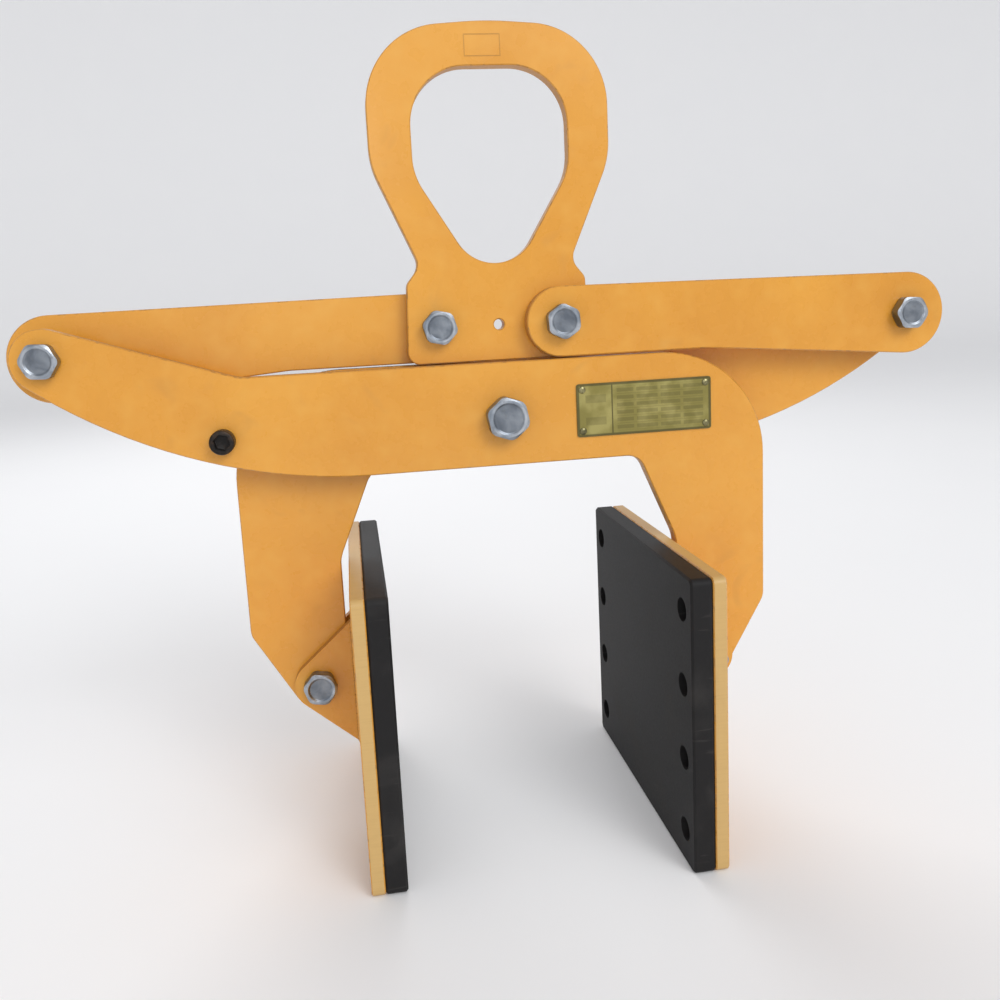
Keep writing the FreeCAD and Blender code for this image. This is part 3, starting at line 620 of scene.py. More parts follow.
PLATE_PAINT = Enamel("enamel on plate")
PAD_PAINT = Enamel("enamel on pad plate", axis=Axis.X, edge=(0.60, 0.385, 0.14), grain=0.08)
RING_PAINT = Enamel(
    "enamel on ring",
    stamp=Panel(x=-3.0 * MM, z=594.5 * MM, half_width=13.5 * MM, half_height=7.8 * MM, line=0.7 * MM),
)
BRIGHT_ZINC = Zinc()
# A darker copy of the zinc, which paints shade into the heads' dishes and onto their side flats.
SHADED_ZINC = Zinc(
    "dull zinc in dishes and on flats", cool=(0.14, 0.16, 0.19), bright=(0.34, 0.37, 0.41),
    warm=(0.30, 0.28, 0.26),
)
RIVET_METAL = Zinc(
    "aged rivet metal", cool=(0.13, 0.12, 0.06), bright=(0.32, 0.29, 0.15), warm=(0.22, 0.19, 0.10)
)


# Turned and six-sided bodies


class Section(Protocol):
    """The outline of a turned body at one station."""

    def at(self, angle: float) -> float:
        """Radius at an angle."""


@dataclass(frozen=True)
class Circle:
    """A round section; a radius of 0 is a point on the axis."""

    radius: float

    def at(self, angle: float) -> float:
        """Radius at an angle."""
        return self.radius


@dataclass(frozen=True)
class Hexagon:
    """A hexagonal section with slightly rounded corners."""

    flats: float
    corner_share: float = 0.94

    def at(self, angle: float) -> float:
        """Radius at an angle.

        Args:
            angle: the angle, in radians.

        Returns:
            The radius.
        """
        half = self.flats / 2.0
        turned = (angle + SIXTH_TURN / 2.0) % SIXTH_TURN - SIXTH_TURN / 2.0
        corner = half / math.cos(SIXTH_TURN / 2.0) * self.corner_share
        return min(half / math.cos(turned), corner)


@dataclass(frozen=True)
class Knurl:
    """A round section with fine straight teeth."""

    radius: float
    depth: float
    teeth: int

    def at(self, angle: float) -> float:
        """Radius at an angle."""
        return self.radius - self.depth * (0.5 + 0.5 * math.cos(angle * self.teeth))


@dataclass(frozen=True)
class Station:
    """One outline of a turned body, and the number of the finish from there on.

    Where slope isn't 0, points further out than start are moved along the axis, as a turned crown does
    to the corners of a hexagon.
    """

    along: float
    section: Section
    slope: float = 0.0
    start: float = 0.0
    finish: int = 0

    def point(self, angle: float) -> Span:
        """The place along the axis and the radius at an angle."""
        radius = self.section.at(angle)
        return self.along + self.slope * max(0.0, radius - self.start), radius


def rounds(*places: Span, finish: int = 0) -> list[Station]:
    """Round stations, each given by its place along the axis and its radius."""
    return [Station(along, Circle(radius), finish=finish) for along, radius in places]


def poured(work: BMesh, mesh: Mesh) -> Mesh:
    """Write the work on corners and faces to a mesh.

    Args:
        work: the work, which is let go of.
        mesh: the mesh that takes it.

    Returns:
        The mesh.
    """
    work.to_mesh(mesh)
    work.free()
    return mesh


def merged(mesh: Mesh) -> BMesh:
    """Take a mesh to work on, with its doubled corners merged.

    Args:
        mesh: the mesh.

    Returns:
        The work.
    """
    work = bmesh.new()
    work.from_mesh(mesh)
    bmesh.ops.remove_doubles(work, verts=work.verts[:], dist=MERGE_DISTANCE)
    return work


@dataclass
class Turned:
    """A body swept round an axis through a list of stations, which are measured from its centre."""

    stations: Sequence[Station]
    centre: Vector = field(default_factory=Vector)
    turn: float = 0.0
    axis: Axis = Axis.Y
    segments: int = 72
    closed: bool = False

    def mesh(self, name: str) -> Mesh:
        """Build the mesh.

        Args:
            name: the mesh's name.

        Returns:
            The mesh, with its faces outwards.
        """
        work = bmesh.new()
        rings = [self._ring(work, station) for station in self.stations]
        nexts = rings[1:] + (rings[:1] if self.closed else [])
        for station, first, second in zip(self.stations, rings, nexts):
            for number in range(max(len(first), len(second))):
                corners = ((first, number), (second, number), (second, number + 1), (first, number + 1))
                loop = dict.fromkeys(ring[place % len(ring)] for ring, place in corners)
                work.faces.new(tuple(loop)).material_index = station.finish
        bmesh.ops.recalc_face_normals(work, faces=work.faces[:])
        return poured(work, bpy.data.meshes.new(name))

    def _ring(self, work: BMesh, station: Station) -> list[BMVert]:
        """The corners of one station.

        Args:
            work: the work that takes them.
            station: the station.

        Returns:
            The corners, a single one where the station is a point.
        """
        ring = []
        for number in range(1 if station.section.at(0.0) == 0.0 else self.segments):
            angle = FULL_TURN * number / self.segments
            along, radius = station.point(angle)
            turned = angle + math.radians(self.turn)
            across, up = radius * math.cos(turned), radius * math.sin(turned)
            offset = (along, across, up) if self.axis is Axis.X else (across, along, up)
            ring.append(work.verts.new(self.centre + Vector(offset)))
        return ring


def solid(mesh: Mesh, materials: Iterable[Material]) -> Object:
    """Put a mesh in the scene, smooth between its sharp edges.

    Args:
        mesh: the mesh, which has the piece's name.
        materials: its finishes, in the order of the faces' numbers.

    Returns:
        The piece, at the origin.
    """
    for material in materials:
        mesh.materials.append(material)
    mesh.shade_smooth()
    mesh.set_sharp_from_angle(angle=SMOOTH_ANGLE)
    piece = bpy.data.objects.new(mesh.name, mesh)
    bpy.context.scene.collection.objects.link(piece)
    return piece


# Geometry Nodes for what repeats or follows a path


class ShapeBoard(Board):
    """A geometry tree with named inputs, baked to a plain mesh."""

    def __init__(self, name: str) -> None:
        """Start a tree with this name."""
        super().__init__(bpy.data.node_groups.new(name, "GeometryNodeTree"))
        self._socket("Geometry", "OUTPUT", "Geometry")

    def _socket(self, name: str, way: str, kind: str) -> None:
        """Add a socket to the tree's outside."""
        self.tree.interface.new_socket(name=name, in_out=way, socket_type=f"NodeSocket{kind}")

    def declare(self, **kinds: str) -> dict[str, Wire]:
        """Give the tree its named inputs.

        Args:
            **kinds: the kind of each input, such as Float, Int, Vector, Object or Material.

        Returns:
            The inputs' wires by name.
        """
        for name, kind in kinds.items():
            self._socket(name, "INPUT", kind)
        entry = self.node("NodeGroupInput", {}, {})
        return {name: Wire(self, entry.outputs[name]) for name in kinds}

    def close(self, geometry: Wire, material: Wire) -> None:
        """Realize the instances, set the finish and join the output.

        Args:
            geometry: what the tree has made.
            material: its finish.
        """
        real = self.wire("GeometryNodeRealizeInstances", {}, {0: geometry})
        dressed = self.wire("GeometryNodeSetMaterial", {}, {"Geometry": real, "Material": material})
        self.node("NodeGroupOutput", {}, {0: dressed})

    def bake(self, name: str, values: Mapping[str, Any]) -> Mesh:
        """Run the tree with these values.

        Args:
            name: the mesh's name.
            values: a value for each named input.

        Returns:
            A plain mesh of the result.
        """
        holder = bpy.data.objects.new(f"{name}_holder", bpy.data.meshes.new(f"{name}_seed"))
        bpy.context.scene.collection.objects.link(holder)
        modifier = holder.modifiers.new("shape", "NODES")
        modifier.node_group = self.tree
        for item in self.tree.interface.items_tree:
            if item.item_type == "SOCKET" and item.in_out == "INPUT":
                modifier[item.identifier] = values[item.name]
        holder.update_tag()
        evaluated = holder.evaluated_get(bpy.context.evaluated_depsgraph_get())
        mesh = bpy.data.meshes.new_from_object(evaluated)
        mesh.name = name
        mesh.materials.clear()
        bpy.data.objects.remove(holder)
        work = merged(mesh)
        bmesh.ops.recalc_face_normals(work, faces=work.faces[:])
        return poured(work, mesh)


class ThreadShape(ShapeBoard):
    """A bolt's rolled thread along Y, closed at both ends, with a chamfered tip."""

    SIDES = 48
    FLANK = 1.35
    CREST = 0.15
    CHAMFER = 1.1

    def __init__(self) -> None:
        """Build the tree."""
        super().__init__("bolt thread")
        size = self.declare(
            Start="Vector", Radius="Float", Pitch="Float", Depth="Float", Length="Float", Rows="Int",
            Finish="Material",
        )
        grid = self.wire(
            "GeometryNodeMeshGrid", {},
            {"Size X": 1.0, "Size Y": 1.0, "Vertices X": self.SIDES + 1, "Vertices Y": size["Rows"]},
        )
        x, y, _ = self.split(self.wire("GeometryNodeInputPosition", {}, {}))
        turn, rise = x + 0.5, y + 0.5
        row = 1.0 / (size["Rows"] - 1.0)
        along = self.clip((rise - row) / (1.0 - row * 2.0)) * size["Length"]
        phase = self.math("FRACT", along / size["Pitch"] - turn + 1.0)
        groove = self.clip(abs(phase * 2.0 - 1.0) * self.FLANK - self.CREST)
        chamfer = size["Radius"] - size["Depth"] * self.CHAMFER + (size["Length"] - along)
        radius = self.math("MINIMUM", size["Radius"] - size["Depth"] * groove, chamfer)
        radius = radius * (rise > row * 0.5) * (rise < 1.0 - row * 0.5)
        angle = turn * FULL_TURN
        place = self.join(radius * self.math("COSINE", angle), along, radius * self.math("SINE", angle))
        moved = self.wire("ShaderNodeVectorMath", {"operation": "ADD"}, {0: place, 1: size["Start"]})
        shaped = self.wire("GeometryNodeSetPosition", {}, {"Geometry": grid, "Position": moved})
        ends = {"Geometry": shaped, "Distance": MERGE_DISTANCE}
        self.close(self.wire("GeometryNodeMergeByDistance", {}, ends), size["Finish"])


class GridShape(ShapeBoard):
    """Copies of one fastener in rows and columns on an upright face."""

    def __init__(self) -> None:
        """Build the tree."""
        super().__init__("fastener grid")
        size = self.declare(
            First="Vector", Across="Vector", Columns="Int", Up="Float", Rows="Int", Fastener="Object",
            Finish="Material",
        )
        column = self._line(size["Columns"], size["First"], size["Across"])
        row = self._line(size["Rows"], (0.0, 0.0, 0.0), self.join(0.0, 0.0, size["Up"]))
        rows = self.wire("GeometryNodeInstanceOnPoints", {}, {"Points": column, "Instance": row})
        places = self.wire("GeometryNodeRealizeInstances", {}, {0: rows})
        piece = self.wire(
            "GeometryNodeObjectInfo", {"transform_space": "ORIGINAL"}, {"Object": size["Fastener"]},
            out="Geometry",
        )
        spread = self.wire("GeometryNodeInstanceOnPoints", {}, {"Points": places, "Instance": piece})
        self.close(spread, size["Finish"])

    def _line(self, count: Wire, start: Wire | Place, step: Wire) -> Wire:
        """Places in a line."""
        inputs = {"Count": count, "Start Location": start, "Offset": step}
        return self.wire("GeometryNodeMeshLine", {"mode": "OFFSET"}, inputs)

    def spread(self, name: str, sample: Mesh, values: Mapping[str, Any]) -> Mesh:
        """Set copies of one fastener.

        Args:
            name: the mesh's name.
            sample: one fastener at the origin.
            values: a value for each of the tree's other inputs.

        Returns:
            One mesh with them all.
        """
        holder = solid(sample, [values["Finish"]])
        mesh = self.bake(name, {**values, "Fastener": holder})
        bpy.data.objects.remove(holder)
        return mesh


class WeldShape(ShapeBoard):
    """A fillet weld along a straight seam, with the ripples of its passes."""

    SIDES = 14
    SPACING = 0.5 * MM
    WOBBLE_SCALE = 90.0
    PITCH_WOBBLE = 0.8
    GIRTH_WOBBLE = 0.22
    END_SLOPE = 24.0
    END_GIRTH = 0.15

    def __init__(self) -> None:
        """Build the tree."""
        super().__init__("weld bead")
        size = self.declare(
            From="Vector", To="Vector", Radius="Float", Ripple="Float", Pitch="Float", Seed="Float",
            Finish="Material",
        )
        seam = self.wire("GeometryNodeCurvePrimitiveLine", {}, {"Start": size["From"], "End": size["To"]})
        path = self.wire(
            "GeometryNodeResampleCurve", {"mode": "LENGTH"}, {"Curve": seam, "Length": self.SPACING}
        )
        measure = self.node("GeometryNodeSplineParameter", {}, {})
        share, run = Wire(self, measure.outputs["Factor"]), Wire(self, measure.outputs["Length"])
        place = run * self.WOBBLE_SCALE + size["Seed"]
        wobble = self.wire("ShaderNodeTexNoise", {"noise_dimensions": "1D"}, {"W": place, "Detail": 1.0})
        ripple = self.math("FRACT", run / size["Pitch"] + wobble * self.PITCH_WOBBLE) * size["Ripple"]
        ends = self.math("MINIMUM", share, 1.0 - share) * self.END_SLOPE
        taper = self.math("POWER", self.math("MINIMUM", ends + self.END_GIRTH, 1.0), 0.5)
        thick = (1.0 + ripple + wobble * self.GIRTH_WOBBLE - self.GIRTH_WOBBLE / 2.0) * taper
        swollen = self.wire("GeometryNodeSetCurveRadius", {}, {"Curve": path, "Radius": thick})
        bead = self.wire(
            "GeometryNodeCurvePrimitiveCircle", {}, {"Resolution": self.SIDES, "Radius": size["Radius"]}
        )
        swept = {"Curve": swollen, "Profile Curve": bead, "Scale": thick, "Fill Caps": True}
        self.close(self.wire("GeometryNodeCurveToMesh", {}, swept), size["Finish"])


# What the clamp is put together from


@dataclass
class Shop:
    """What every sub-assembly draws on: the shapes that repeat, and the finishes, each built once."""

    threads: ThreadShape = field(default_factory=ThreadShape)
    grid: GridShape = field(default_factory=GridShape)
    welds: WeldShape = field(default_factory=WeldShape)
    made: dict[str, Material] = field(default_factory=dict)

    def take(self, finish: Finish) -> Material:
        """The material of a finish, built the first time it is asked for.

        Args:
            finish: the finish.

        Returns:
            Its material.
        """
        if finish.name not in self.made:
            self.made[finish.name] = finish.material()
        return self.made[finish.name]


@dataclass
class Box:
    """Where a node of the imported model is."""

    node: str

    def __post_init__(self) -> None:
        """Measure the node."""
        self.low, self.high = map(Vector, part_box(self.node))

    @property
    def centre(self) -> Vector:
        """The middle of the box."""
        return (self.low + self.high) / 2.0

    @property
    def size(self) -> Vector:
        """The box's sides."""
        return self.high - self.low

    @property
    def foot(self) -> Vector:
        """Where the axis of a fastener along Y meets the front of its head."""
        return Vector((self.centre.x, self.low.y, self.centre.z))


@dataclass
class SubAssembly:
    """A body of the clamp with its pieces."""

    body: str
    shop: Shop
    count: int = 0

    def build(self) -> None:
        """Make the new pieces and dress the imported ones."""
        raise NotImplementedError

    def dress(self, finish: Finish, *nodes: str) -> None:
        """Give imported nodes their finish.

        Args:
            finish: the finish.
            *nodes: the nodes' names.
        """
        for node in nodes:
            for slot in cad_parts[node].material_slots:
                slot.material = self.shop.take(finish)
            self.count += 1
            LOG.info("%s is dressed in %s", node, finish.name)

    def add(self, mesh: Mesh, finishes: Sequence[Finish], slot: Slot, replaced: str | None = None) -> None:
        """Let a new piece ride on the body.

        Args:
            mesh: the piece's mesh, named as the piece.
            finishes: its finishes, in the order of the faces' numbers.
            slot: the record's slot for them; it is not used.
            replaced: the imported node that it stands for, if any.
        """
        piece = solid(mesh, map(self.shop.take, finishes))
        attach(piece, self.body)
        if replaced is not None:
            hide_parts(replaced)
        self.count += 1
        LOG.info("%s rides on %s", piece.name, self.body)


# Fasteners


@dataclass(frozen=True)
class HexSize:
    """The hexagon bolts and nuts of one thread size."""

    flats: float
    head: float
    nut: float
    shank: float
    collar: float = 3.0 * MM
    threaded: float = 20.0 * MM
    clearance: float = 0.05 * MM
    face_share: float = 0.93

    @property
    def bore(self) -> float:
        """Radius of the nut's bore."""
        return self.shank + self.clearance

    @property
    def face(self) -> float:
        """Radius of the flat inside the crown."""
        return self.face_share * self.flats / 2.0


M20 = HexSize(flats=30.0 * MM, head=12.5 * MM, nut=16.0 * MM, shank=10.0 * MM)
M16 = HexSize(flats=24.0 * MM, head=10.0 * MM, nut=13.0 * MM, shank=8.0 * MM)
M12 = HexSize(flats=18.0 * MM, head=7.5 * MM, nut=10.0 * MM, shank=6.0 * MM, collar=0.0)


@dataclass
class BoltSet:
    """A hexagon bolt along Y with its head at the front, its nut, and the washer and spacer between.

    The turns of the bolt and the nut are in degrees. The dish's floor and lip are in dish depths: how far
    the floor's edge is from the rim, and the lip's depth and distance. The collar's points have their
    distance below its top in shares of its height, and their distance inwards from its rim.
    """

    owner: SubAssembly
    name: str
    size: HexSize = M16
    bolt_turn: float = 0.0
    nut_turn: float = 0.0
    kind: str = "bolt"
    making: str = "forged"
    # The second finish paints shade into the head's dish and onto its sides.
    finishes: tuple[Finish, ...] = (BRIGHT_ZINC, SHADED_ZINC)
    slot: Slot = Slot.ZINC
    segments: int = 72
    dish: float = 0.9 * MM
    dish_share: float = 0.88
    dish_floor: float = 1.9
    dish_lip: Span = (0.35, 0.5)
    bevel: float = 0.35 * MM
    seat_share: float = 0.98
    washer_face: float = 0.5 * MM
    pitch: float = 2.0 * MM
    depth: float = 1.1 * MM
    thread_play: float = 0.02 * MM
    rows_per_pitch: float = 10.0
    tip: float = 0.4 * MM
    tip_share: float = 0.9
    mouth: float = 0.8 * MM
    mouth_depth: float = 0.6 * MM
    collar_share: float = 0.95
    collar_root: float = 0.25 * MM
    collar_curve: Curve = ((0.40, 0.0), (0.10, 0.35 * MM), (0.0, 1.1 * MM), (0.0, 2.0 * MM))
    nylon_edge: Span = (0.28, 2.3 * MM)
    nylon_bore: float = 0.34

    def __post_init__(self) -> None:
        """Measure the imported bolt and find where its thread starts."""
        self.box = Box(f"{self.name}_{self.kind}")
        self.end = self.box.size.y - self.size.threaded

    def build(self) -> None:
        """Make the bolt, its thread and its nut, and dress what lies between them."""
        node, owner, size = self.box.node, self.owner, self.size
        stations = self.head() + self._shank()
        turned = Turned(stations, self.box.foot, self.bolt_turn, segments=self.segments)
        owner.add(turned.mesh(f"{node}_{self.making}"), self.finishes, self.slot, node)
        values = {
            "Start": self.box.foot + Vector((0.0, self.end, 0.0)), "Radius": size.shank - self.thread_play,
            "Pitch": self.pitch, "Depth": self.depth, "Length": size.threaded,
            "Rows": int(size.threaded / (self.pitch / self.rows_per_pitch)),
            "Finish": owner.shop.take(self.finishes[0]),
        }
        owner.add(owner.shop.threads.bake(f"{node}_thread", values), self.finishes[:1], self.slot)
        self._nut()
        rest = [f"{self.name}_{kind}" for kind in ("washer", "spacer", "sleeve")]
        owner.dress(BRIGHT_ZINC, *(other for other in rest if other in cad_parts))

    def head(self) -> list[Station]:
        """A dished hexagon head with a turned crown and a washer face.

        Returns:
            Its stations, from the front.
        """
        size, crown, dish = self.size, Hexagon(self.size.flats), self.dish
        rim, hub = size.face * self.dish_share, size.face * self.seat_share
        seat, (lip_depth, lip_inset) = size.head - self.washer_face, self.dish_lip
        return [
            # Finish 1 is the zinc darkened as painted shade, here on the dish's floor and slope.
            *rounds((dish, 0.0), (dish, rim - dish * self.dish_floor), finish=1),
            *rounds((dish * lip_depth, rim - dish * lip_inset), (0.0, rim), (0.0, size.face)),
            # The hexagon's sides take the zinc darkened as painted shade.
            Station(0.0, crown, CROWN_SLOPE, size.face, finish=1),
            Station(seat - self.bevel, crown, finish=1),
            Station(seat, Hexagon(size.flats * self.seat_share)),
            *rounds((seat, hub), (size.head, hub), (size.head, size.shank)),
        ]

    def _shank(self) -> list[Station]:
        """The plain shank's end, and the core that the thread runs on.

        Returns:
            Their stations.
        """
        start, shank, tip = self.end, self.size.shank, self.box.size.y - self.tip
        core = shank - self.depth
        return rounds((start, shank), (start, core), (tip, core * self.tip_share), (tip, 0.0))

    def _nut(self) -> None:
        """The nut, with a nylon ring in its collar where the size has one."""
        size, crown, high, node = self.size, Hexagon(self.size.flats), self.size.nut, f"{self.name}_nut"
        mouth, finishes = size.bore + self.mouth, [BRIGHT_ZINC]
        stations = [
            *rounds((self.mouth_depth, size.bore), (0.0, mouth), (0.0, size.face)),
            Station(0.0, crown, CROWN_SLOPE, size.face),
            Station(high, crown, -CROWN_SLOPE, size.face),
            *rounds((high, size.face)),
        ]
        if size.collar > 0.0:
            rim, tall, top = size.face * self.collar_share, size.collar, high + size.collar
            curve = ((top - tall * down, rim - inward) for down, inward in self.collar_curve)
            down, inward = self.nylon_edge
            stations += rounds((high + self.collar_root, rim), *curve)
            nylon = (top - tall * down, rim - inward), (top - tall * self.nylon_bore, size.bore)
            stations += rounds(*nylon, finish=1)
            finishes.append(Nylon())
        else:
            stations += rounds((high, mouth), (high - self.mouth_depth, size.bore))
        turned = Turned(stations, Box(node).foot, self.nut_turn, closed=True)
        self.owner.add(turned.mesh(f"{node}_turned"), finishes, Slot.ZINC, node)


@dataclass(frozen=True)
class Socket:
    """A hexagonal socket for the key, with a flared mouth and a drilled cone at its bottom."""

    flats: float
    depth: float
    cone: float
    lip: float
    flare: float

    def stations(self) -> list[Station]:
        """From the bottom of the cone out to the head's front.

        Returns:
            The stations.
        """
        walls = Hexagon(self.flats, 1.0)
        mouth = Station(0.0, Hexagon(self.flats + self.flare, 1.0))
        cone = rounds((self.depth + self.cone, 0.0))
        return [*cone, Station(self.depth, walls), Station(self.lip, walls), mouth]


# Sub-assemblies


@dataclass
class CentrePivot(SubAssembly):
    """The M20 bolt that both arms turn on."""

    size: HexSize = M20
    turns: Span = (11.0, 23.0)

    def build(self) -> None:
        """Make the bolt and its nut and dress the rest."""
        BoltSet(self, "centre", self.size, *self.turns).build()


@dataclass
class ArmAssembly(SubAssembly):
    """One arm with its bushes, and the outer link bolt in its eye."""

    word: str = "back"
    eye: Side = Side.RIGHT
    turns: Span = (27.0, 8.0)

    def build(self) -> None:
        """Dress the arm and make its bolt."""
        self.dress(PLATE_PAINT, f"{self.word}_arm")
        self.dress(Bronze(), f"{self.word}_arm_bush", f"{self.word}_jaw_bush")
        BoltSet(self, f"{self.eye.word}_outer", M16, *self.turns).build()


@dataclass
class StopScrew(BoltSet):
    """The M12 socket screw, sleeve, washer and nut that stop the arms at fully open.

    The rim's points have their distance behind the front, and their distance inwards from the head's side.
    """

    name: str = "stop"
    size: HexSize = M12
    bolt_turn: float = 14.0
    nut_turn: float = 12.0
    kind: str = "screw"
    making: str = "knurled"
    finishes: tuple[Finish, ...] = (BlackOxide(),)
    slot: Slot = Slot.BLACK
    segments: int = 144
    tip_share: float = 1.0
    radius: float = 9.0 * MM
    height: float = 12.0 * MM
    socket: Socket = Socket(10.0 * MM, depth=6.0 * MM, cone=1.2 * MM, lip=0.5 * MM, flare=1.0 * MM)
    rim: Curve = ((0.0, 1.3 * MM), (0.35 * MM, 0.5 * MM), (1.0 * MM, 0.1 * MM))
    tooth_depth: float = 0.35 * MM
    tooth_count: int = 36
    knurl_start: float = 1.3 * MM
    knurl_end: float = 1.5 * MM
    band: float = 1.2 * MM
    band_inset: float = 0.1 * MM
    foot_inset: float = 0.3 * MM

    def head(self) -> list[Station]:
        """A knurled round head with a socket.

        Returns:
            Its stations, from the socket's bottom.
        """
        high, radius = self.height, self.radius
        teeth = Knurl(radius, self.tooth_depth, self.tooth_count)
        return [
            *self.socket.stations(),
            *rounds(*((back, radius - inward) for back, inward in self.rim)),
            Station(self.knurl_start, teeth),
            Station(high - self.knurl_end, teeth),
            *rounds((high - self.band, radius - self.band_inset), (high, radius - self.foot_inset)),
            *rounds((high, self.size.shank)),
        ]


@dataclass
class Nameplate:
    """The printed plate on the front arm and its four drive rivets."""

    owner: SubAssembly
    inset: float = 4.5 * MM
    rivet: float = 2.8 * MM
    height: float = 1.2 * MM
    shank: float = 5.0 * MM
    shank_shares: Span = (0.55, 0.50)
    frame_line: float = 1.2 * MM
    dome: Curve = ((1.0, 0.0), (0.96, 0.30), (0.80, 0.62), (0.45, 0.90), (0.10, 1.0))

    def build(self) -> None:
        """Dress the plate and make the rivets."""
        box, shop, (top, bottom) = Box("nameplate"), self.owner.shop, self.shank_shares
        panel = Panel(box.centre.x, box.centre.z, box.size.x / 2.0, box.size.z / 2.0, self.frame_line)
        self.owner.dress(PrintedPlate(panel), box.node)
        dome = rounds(*((-self.height * up, self.rivet * out) for up, out in self.dome))
        foot = (0.0, self.rivet * top), (self.shank, self.rivet * bottom), (self.shank, 0.0)
        sample = Turned(dome + rounds((0.0, self.rivet), *foot), segments=24).mesh("rivet_sample")
        values = {
            "First": box.low + Vector((self.inset, 0.0, self.inset)), "Columns": 2, "Rows": 2,
            "Across": Vector((box.size.x - 2.0 * self.inset, 0.0, 0.0)),
            "Up": box.size.z - 2.0 * self.inset, "Finish": shop.take(RIVET_METAL),
        }
        mesh = shop.grid.spread("drive_rivets", sample, values)
        self.owner.add(mesh, [RIVET_METAL], Slot.ZINC, "nameplate_rivets")


@dataclass
class FrontArm(ArmAssembly):
    """The front arm, which also has the opening stop and the nameplate."""

    word: str = "front"
    eye: Side = Side.LEFT

    def build(self) -> None:
        """Make and dress the arm, then what it carries."""
        super().build()
        StopScrew(self).build()
        Nameplate(self).build()


@dataclass
class LinkAssembly(SubAssembly):
    """A link with its bush, and the inner bolt that joins it to the ring."""

    side: Side = Side.LEFT
    left_turns: Span = (17.0, 26.0)
    right_turns: Span = (4.0, 13.0)

    def build(self) -> None:
        """Dress the link and make its bolt."""
        word = self.side.word
        self.dress(PLATE_PAINT, f"{word}_link")
        self.dress(Bronze(), f"{word}_link_bush")
        turns = self.left_turns if self.side is Side.LEFT else self.right_turns
        BoltSet(self, f"{word}_inner", M16, *turns).build()


@dataclass
class LiftingRing(SubAssembly):
    """The ring plate that a crane hook takes hold of."""

    plate: str = "lifting_ring"
    foot_lead: float = 3.2 * MM
    foot_strip: float = 9.5 * MM

    def build(self) -> None:
        """Make the ring and dress its bush."""
        self.add(self._plate(), [RING_PAINT], Slot.PAINT, self.plate)
        self.dress(Bronze(), "ring_bush")

    def _plate(self) -> Mesh:
        """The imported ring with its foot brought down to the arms' upper edges.

        Returns:
            The mesh.
        """
        work = merged(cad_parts[self.plate].data)
        top = Box(self.plate).low.z + self.foot_strip
        for corner in work.verts:
            if corner.co.z < top:
                corner.co.z -= self.foot_lead
        mesh = poured(work, bpy.data.meshes.new("ring_plate"))
        mesh.attributes.remove(mesh.attributes["custom_normal"])
        return mesh


@dataclass
class GripPad(SubAssembly):
    """A pad: back plate, rubber facing and its screws, lugs with their welds, and the pivot bolt."""

    side: Side = Side.LEFT
    turns: Span = (20.0, 3.0)
    screw_edge: float = 18.0 * MM
    screw_end: float = 26.0 * MM
    screw_rows: int = 4
    screw_length: float = 19.0 * MM
    screw_shank: float = 4.0 * MM
    socket: Socket = Socket(5.0 * MM, depth=2.4 * MM, cone=0.5 * MM, lip=0.25 * MM, flare=0.5 * MM)
    head_depth: float = 9.0 * MM
    head_radius: float = 7.0 * MM
    head_height: float = 4.4 * MM
    dome: Curve = ((0.0, 0.52), (0.10, 0.68), (0.32, 0.85), (0.62, 0.96), (0.90, 1.0))
    weld_radius: float = 2.6 * MM
    weld_ripple: float = 0.16
    weld_pitch: float = 3.1 * MM
    weld_lead: float = 1.0 * MM
    weld_sink: float = 0.3 * MM
    seed_step: float = 3.0

    def build(self) -> None:
        """Dress the pad and make its screws, welds and pivot."""
        word = self.side.word
        self.dress(PAD_PAINT, f"{word}_pad_plate")
        self.dress(PLATE_PAINT, f"{word}_pad_lugs")
        self.dress(Rubber(), f"{word}_pad_rubber")
        BoltSet(self, f"{word}_jaw", M16, *self.turns).build()
        self._screws()
        self._welds()

    def _inner_face(self, box: Box) -> float:
        """The place along X of a box's side that looks at the other pad."""
        return box.low.x if self.side is Side.RIGHT else box.high.x

    def _screws(self) -> None:
        """Eight button-head screws, sunk in the rubber."""
        word, sign, rubber = self.side.word, float(self.side.value), Box(f"{self.side.word}_pad_rubber")
        tall, wide, end, shank = self.head_height, self.head_radius, self.screw_length, self.screw_shank
        dome = rounds(*((tall * back, wide * out) for back, out in self.dome))
        stem = rounds((tall, wide), (tall, shank), (end, shank), (end, 0.0))
        stations = [*self.socket.stations(), *dome, *stem]
        facing = [Station(sign * station.along, station.section) for station in stations]
        head_x = self._inner_face(rubber) + sign * (self.head_depth - tall)
        values = {
            "First": Vector((head_x, rubber.low.y + self.screw_edge, rubber.low.z + self.screw_end)),
            "Across": Vector((0.0, rubber.size.y - 2.0 * self.screw_edge, 0.0)), "Columns": 2,
            "Up": (rubber.size.z - 2.0 * self.screw_end) / (self.screw_rows - 1), "Rows": self.screw_rows,
            "Finish": self.shop.take(BlackOxide()),
        }
        sample = Turned(facing, axis=Axis.X, segments=48).mesh("screw_sample")
        mesh = self.shop.grid.spread(f"{word}_facing_screws", sample, values)
        self.add(mesh, [BlackOxide()], Slot.BLACK, f"{word}_pad_screws")

    def _welds(self) -> None:
        """Fillet welds along the outer sides of both lugs."""
        word, sign, lugs = self.side.word, float(self.side.value), Box(f"{self.side.word}_pad_lugs")
        root_x = self._inner_face(lugs) + sign * self.weld_sink
        for number, y in enumerate((lugs.low.y, lugs.high.y)):
            values = {
                "From": Vector((root_x, y, lugs.low.z - self.weld_lead)),
                "To": Vector((root_x, y, lugs.high.z + self.weld_lead)),
                "Radius": self.weld_radius, "Ripple": self.weld_ripple, "Pitch": self.weld_pitch,
                "Seed": self.seed_step * number + sign, "Finish": self.shop.take(PLATE_PAINT),
            }
            bead = self.shop.welds.bake(f"{word}_lug_weld_{number}", values)
            self.add(bead, [PLATE_PAINT], Slot.PAINT)


# Studio


@dataclass(frozen=True)
class Lamp:
    """A round soft light."""

    name: str
    place: Place
    size: float
    power: float


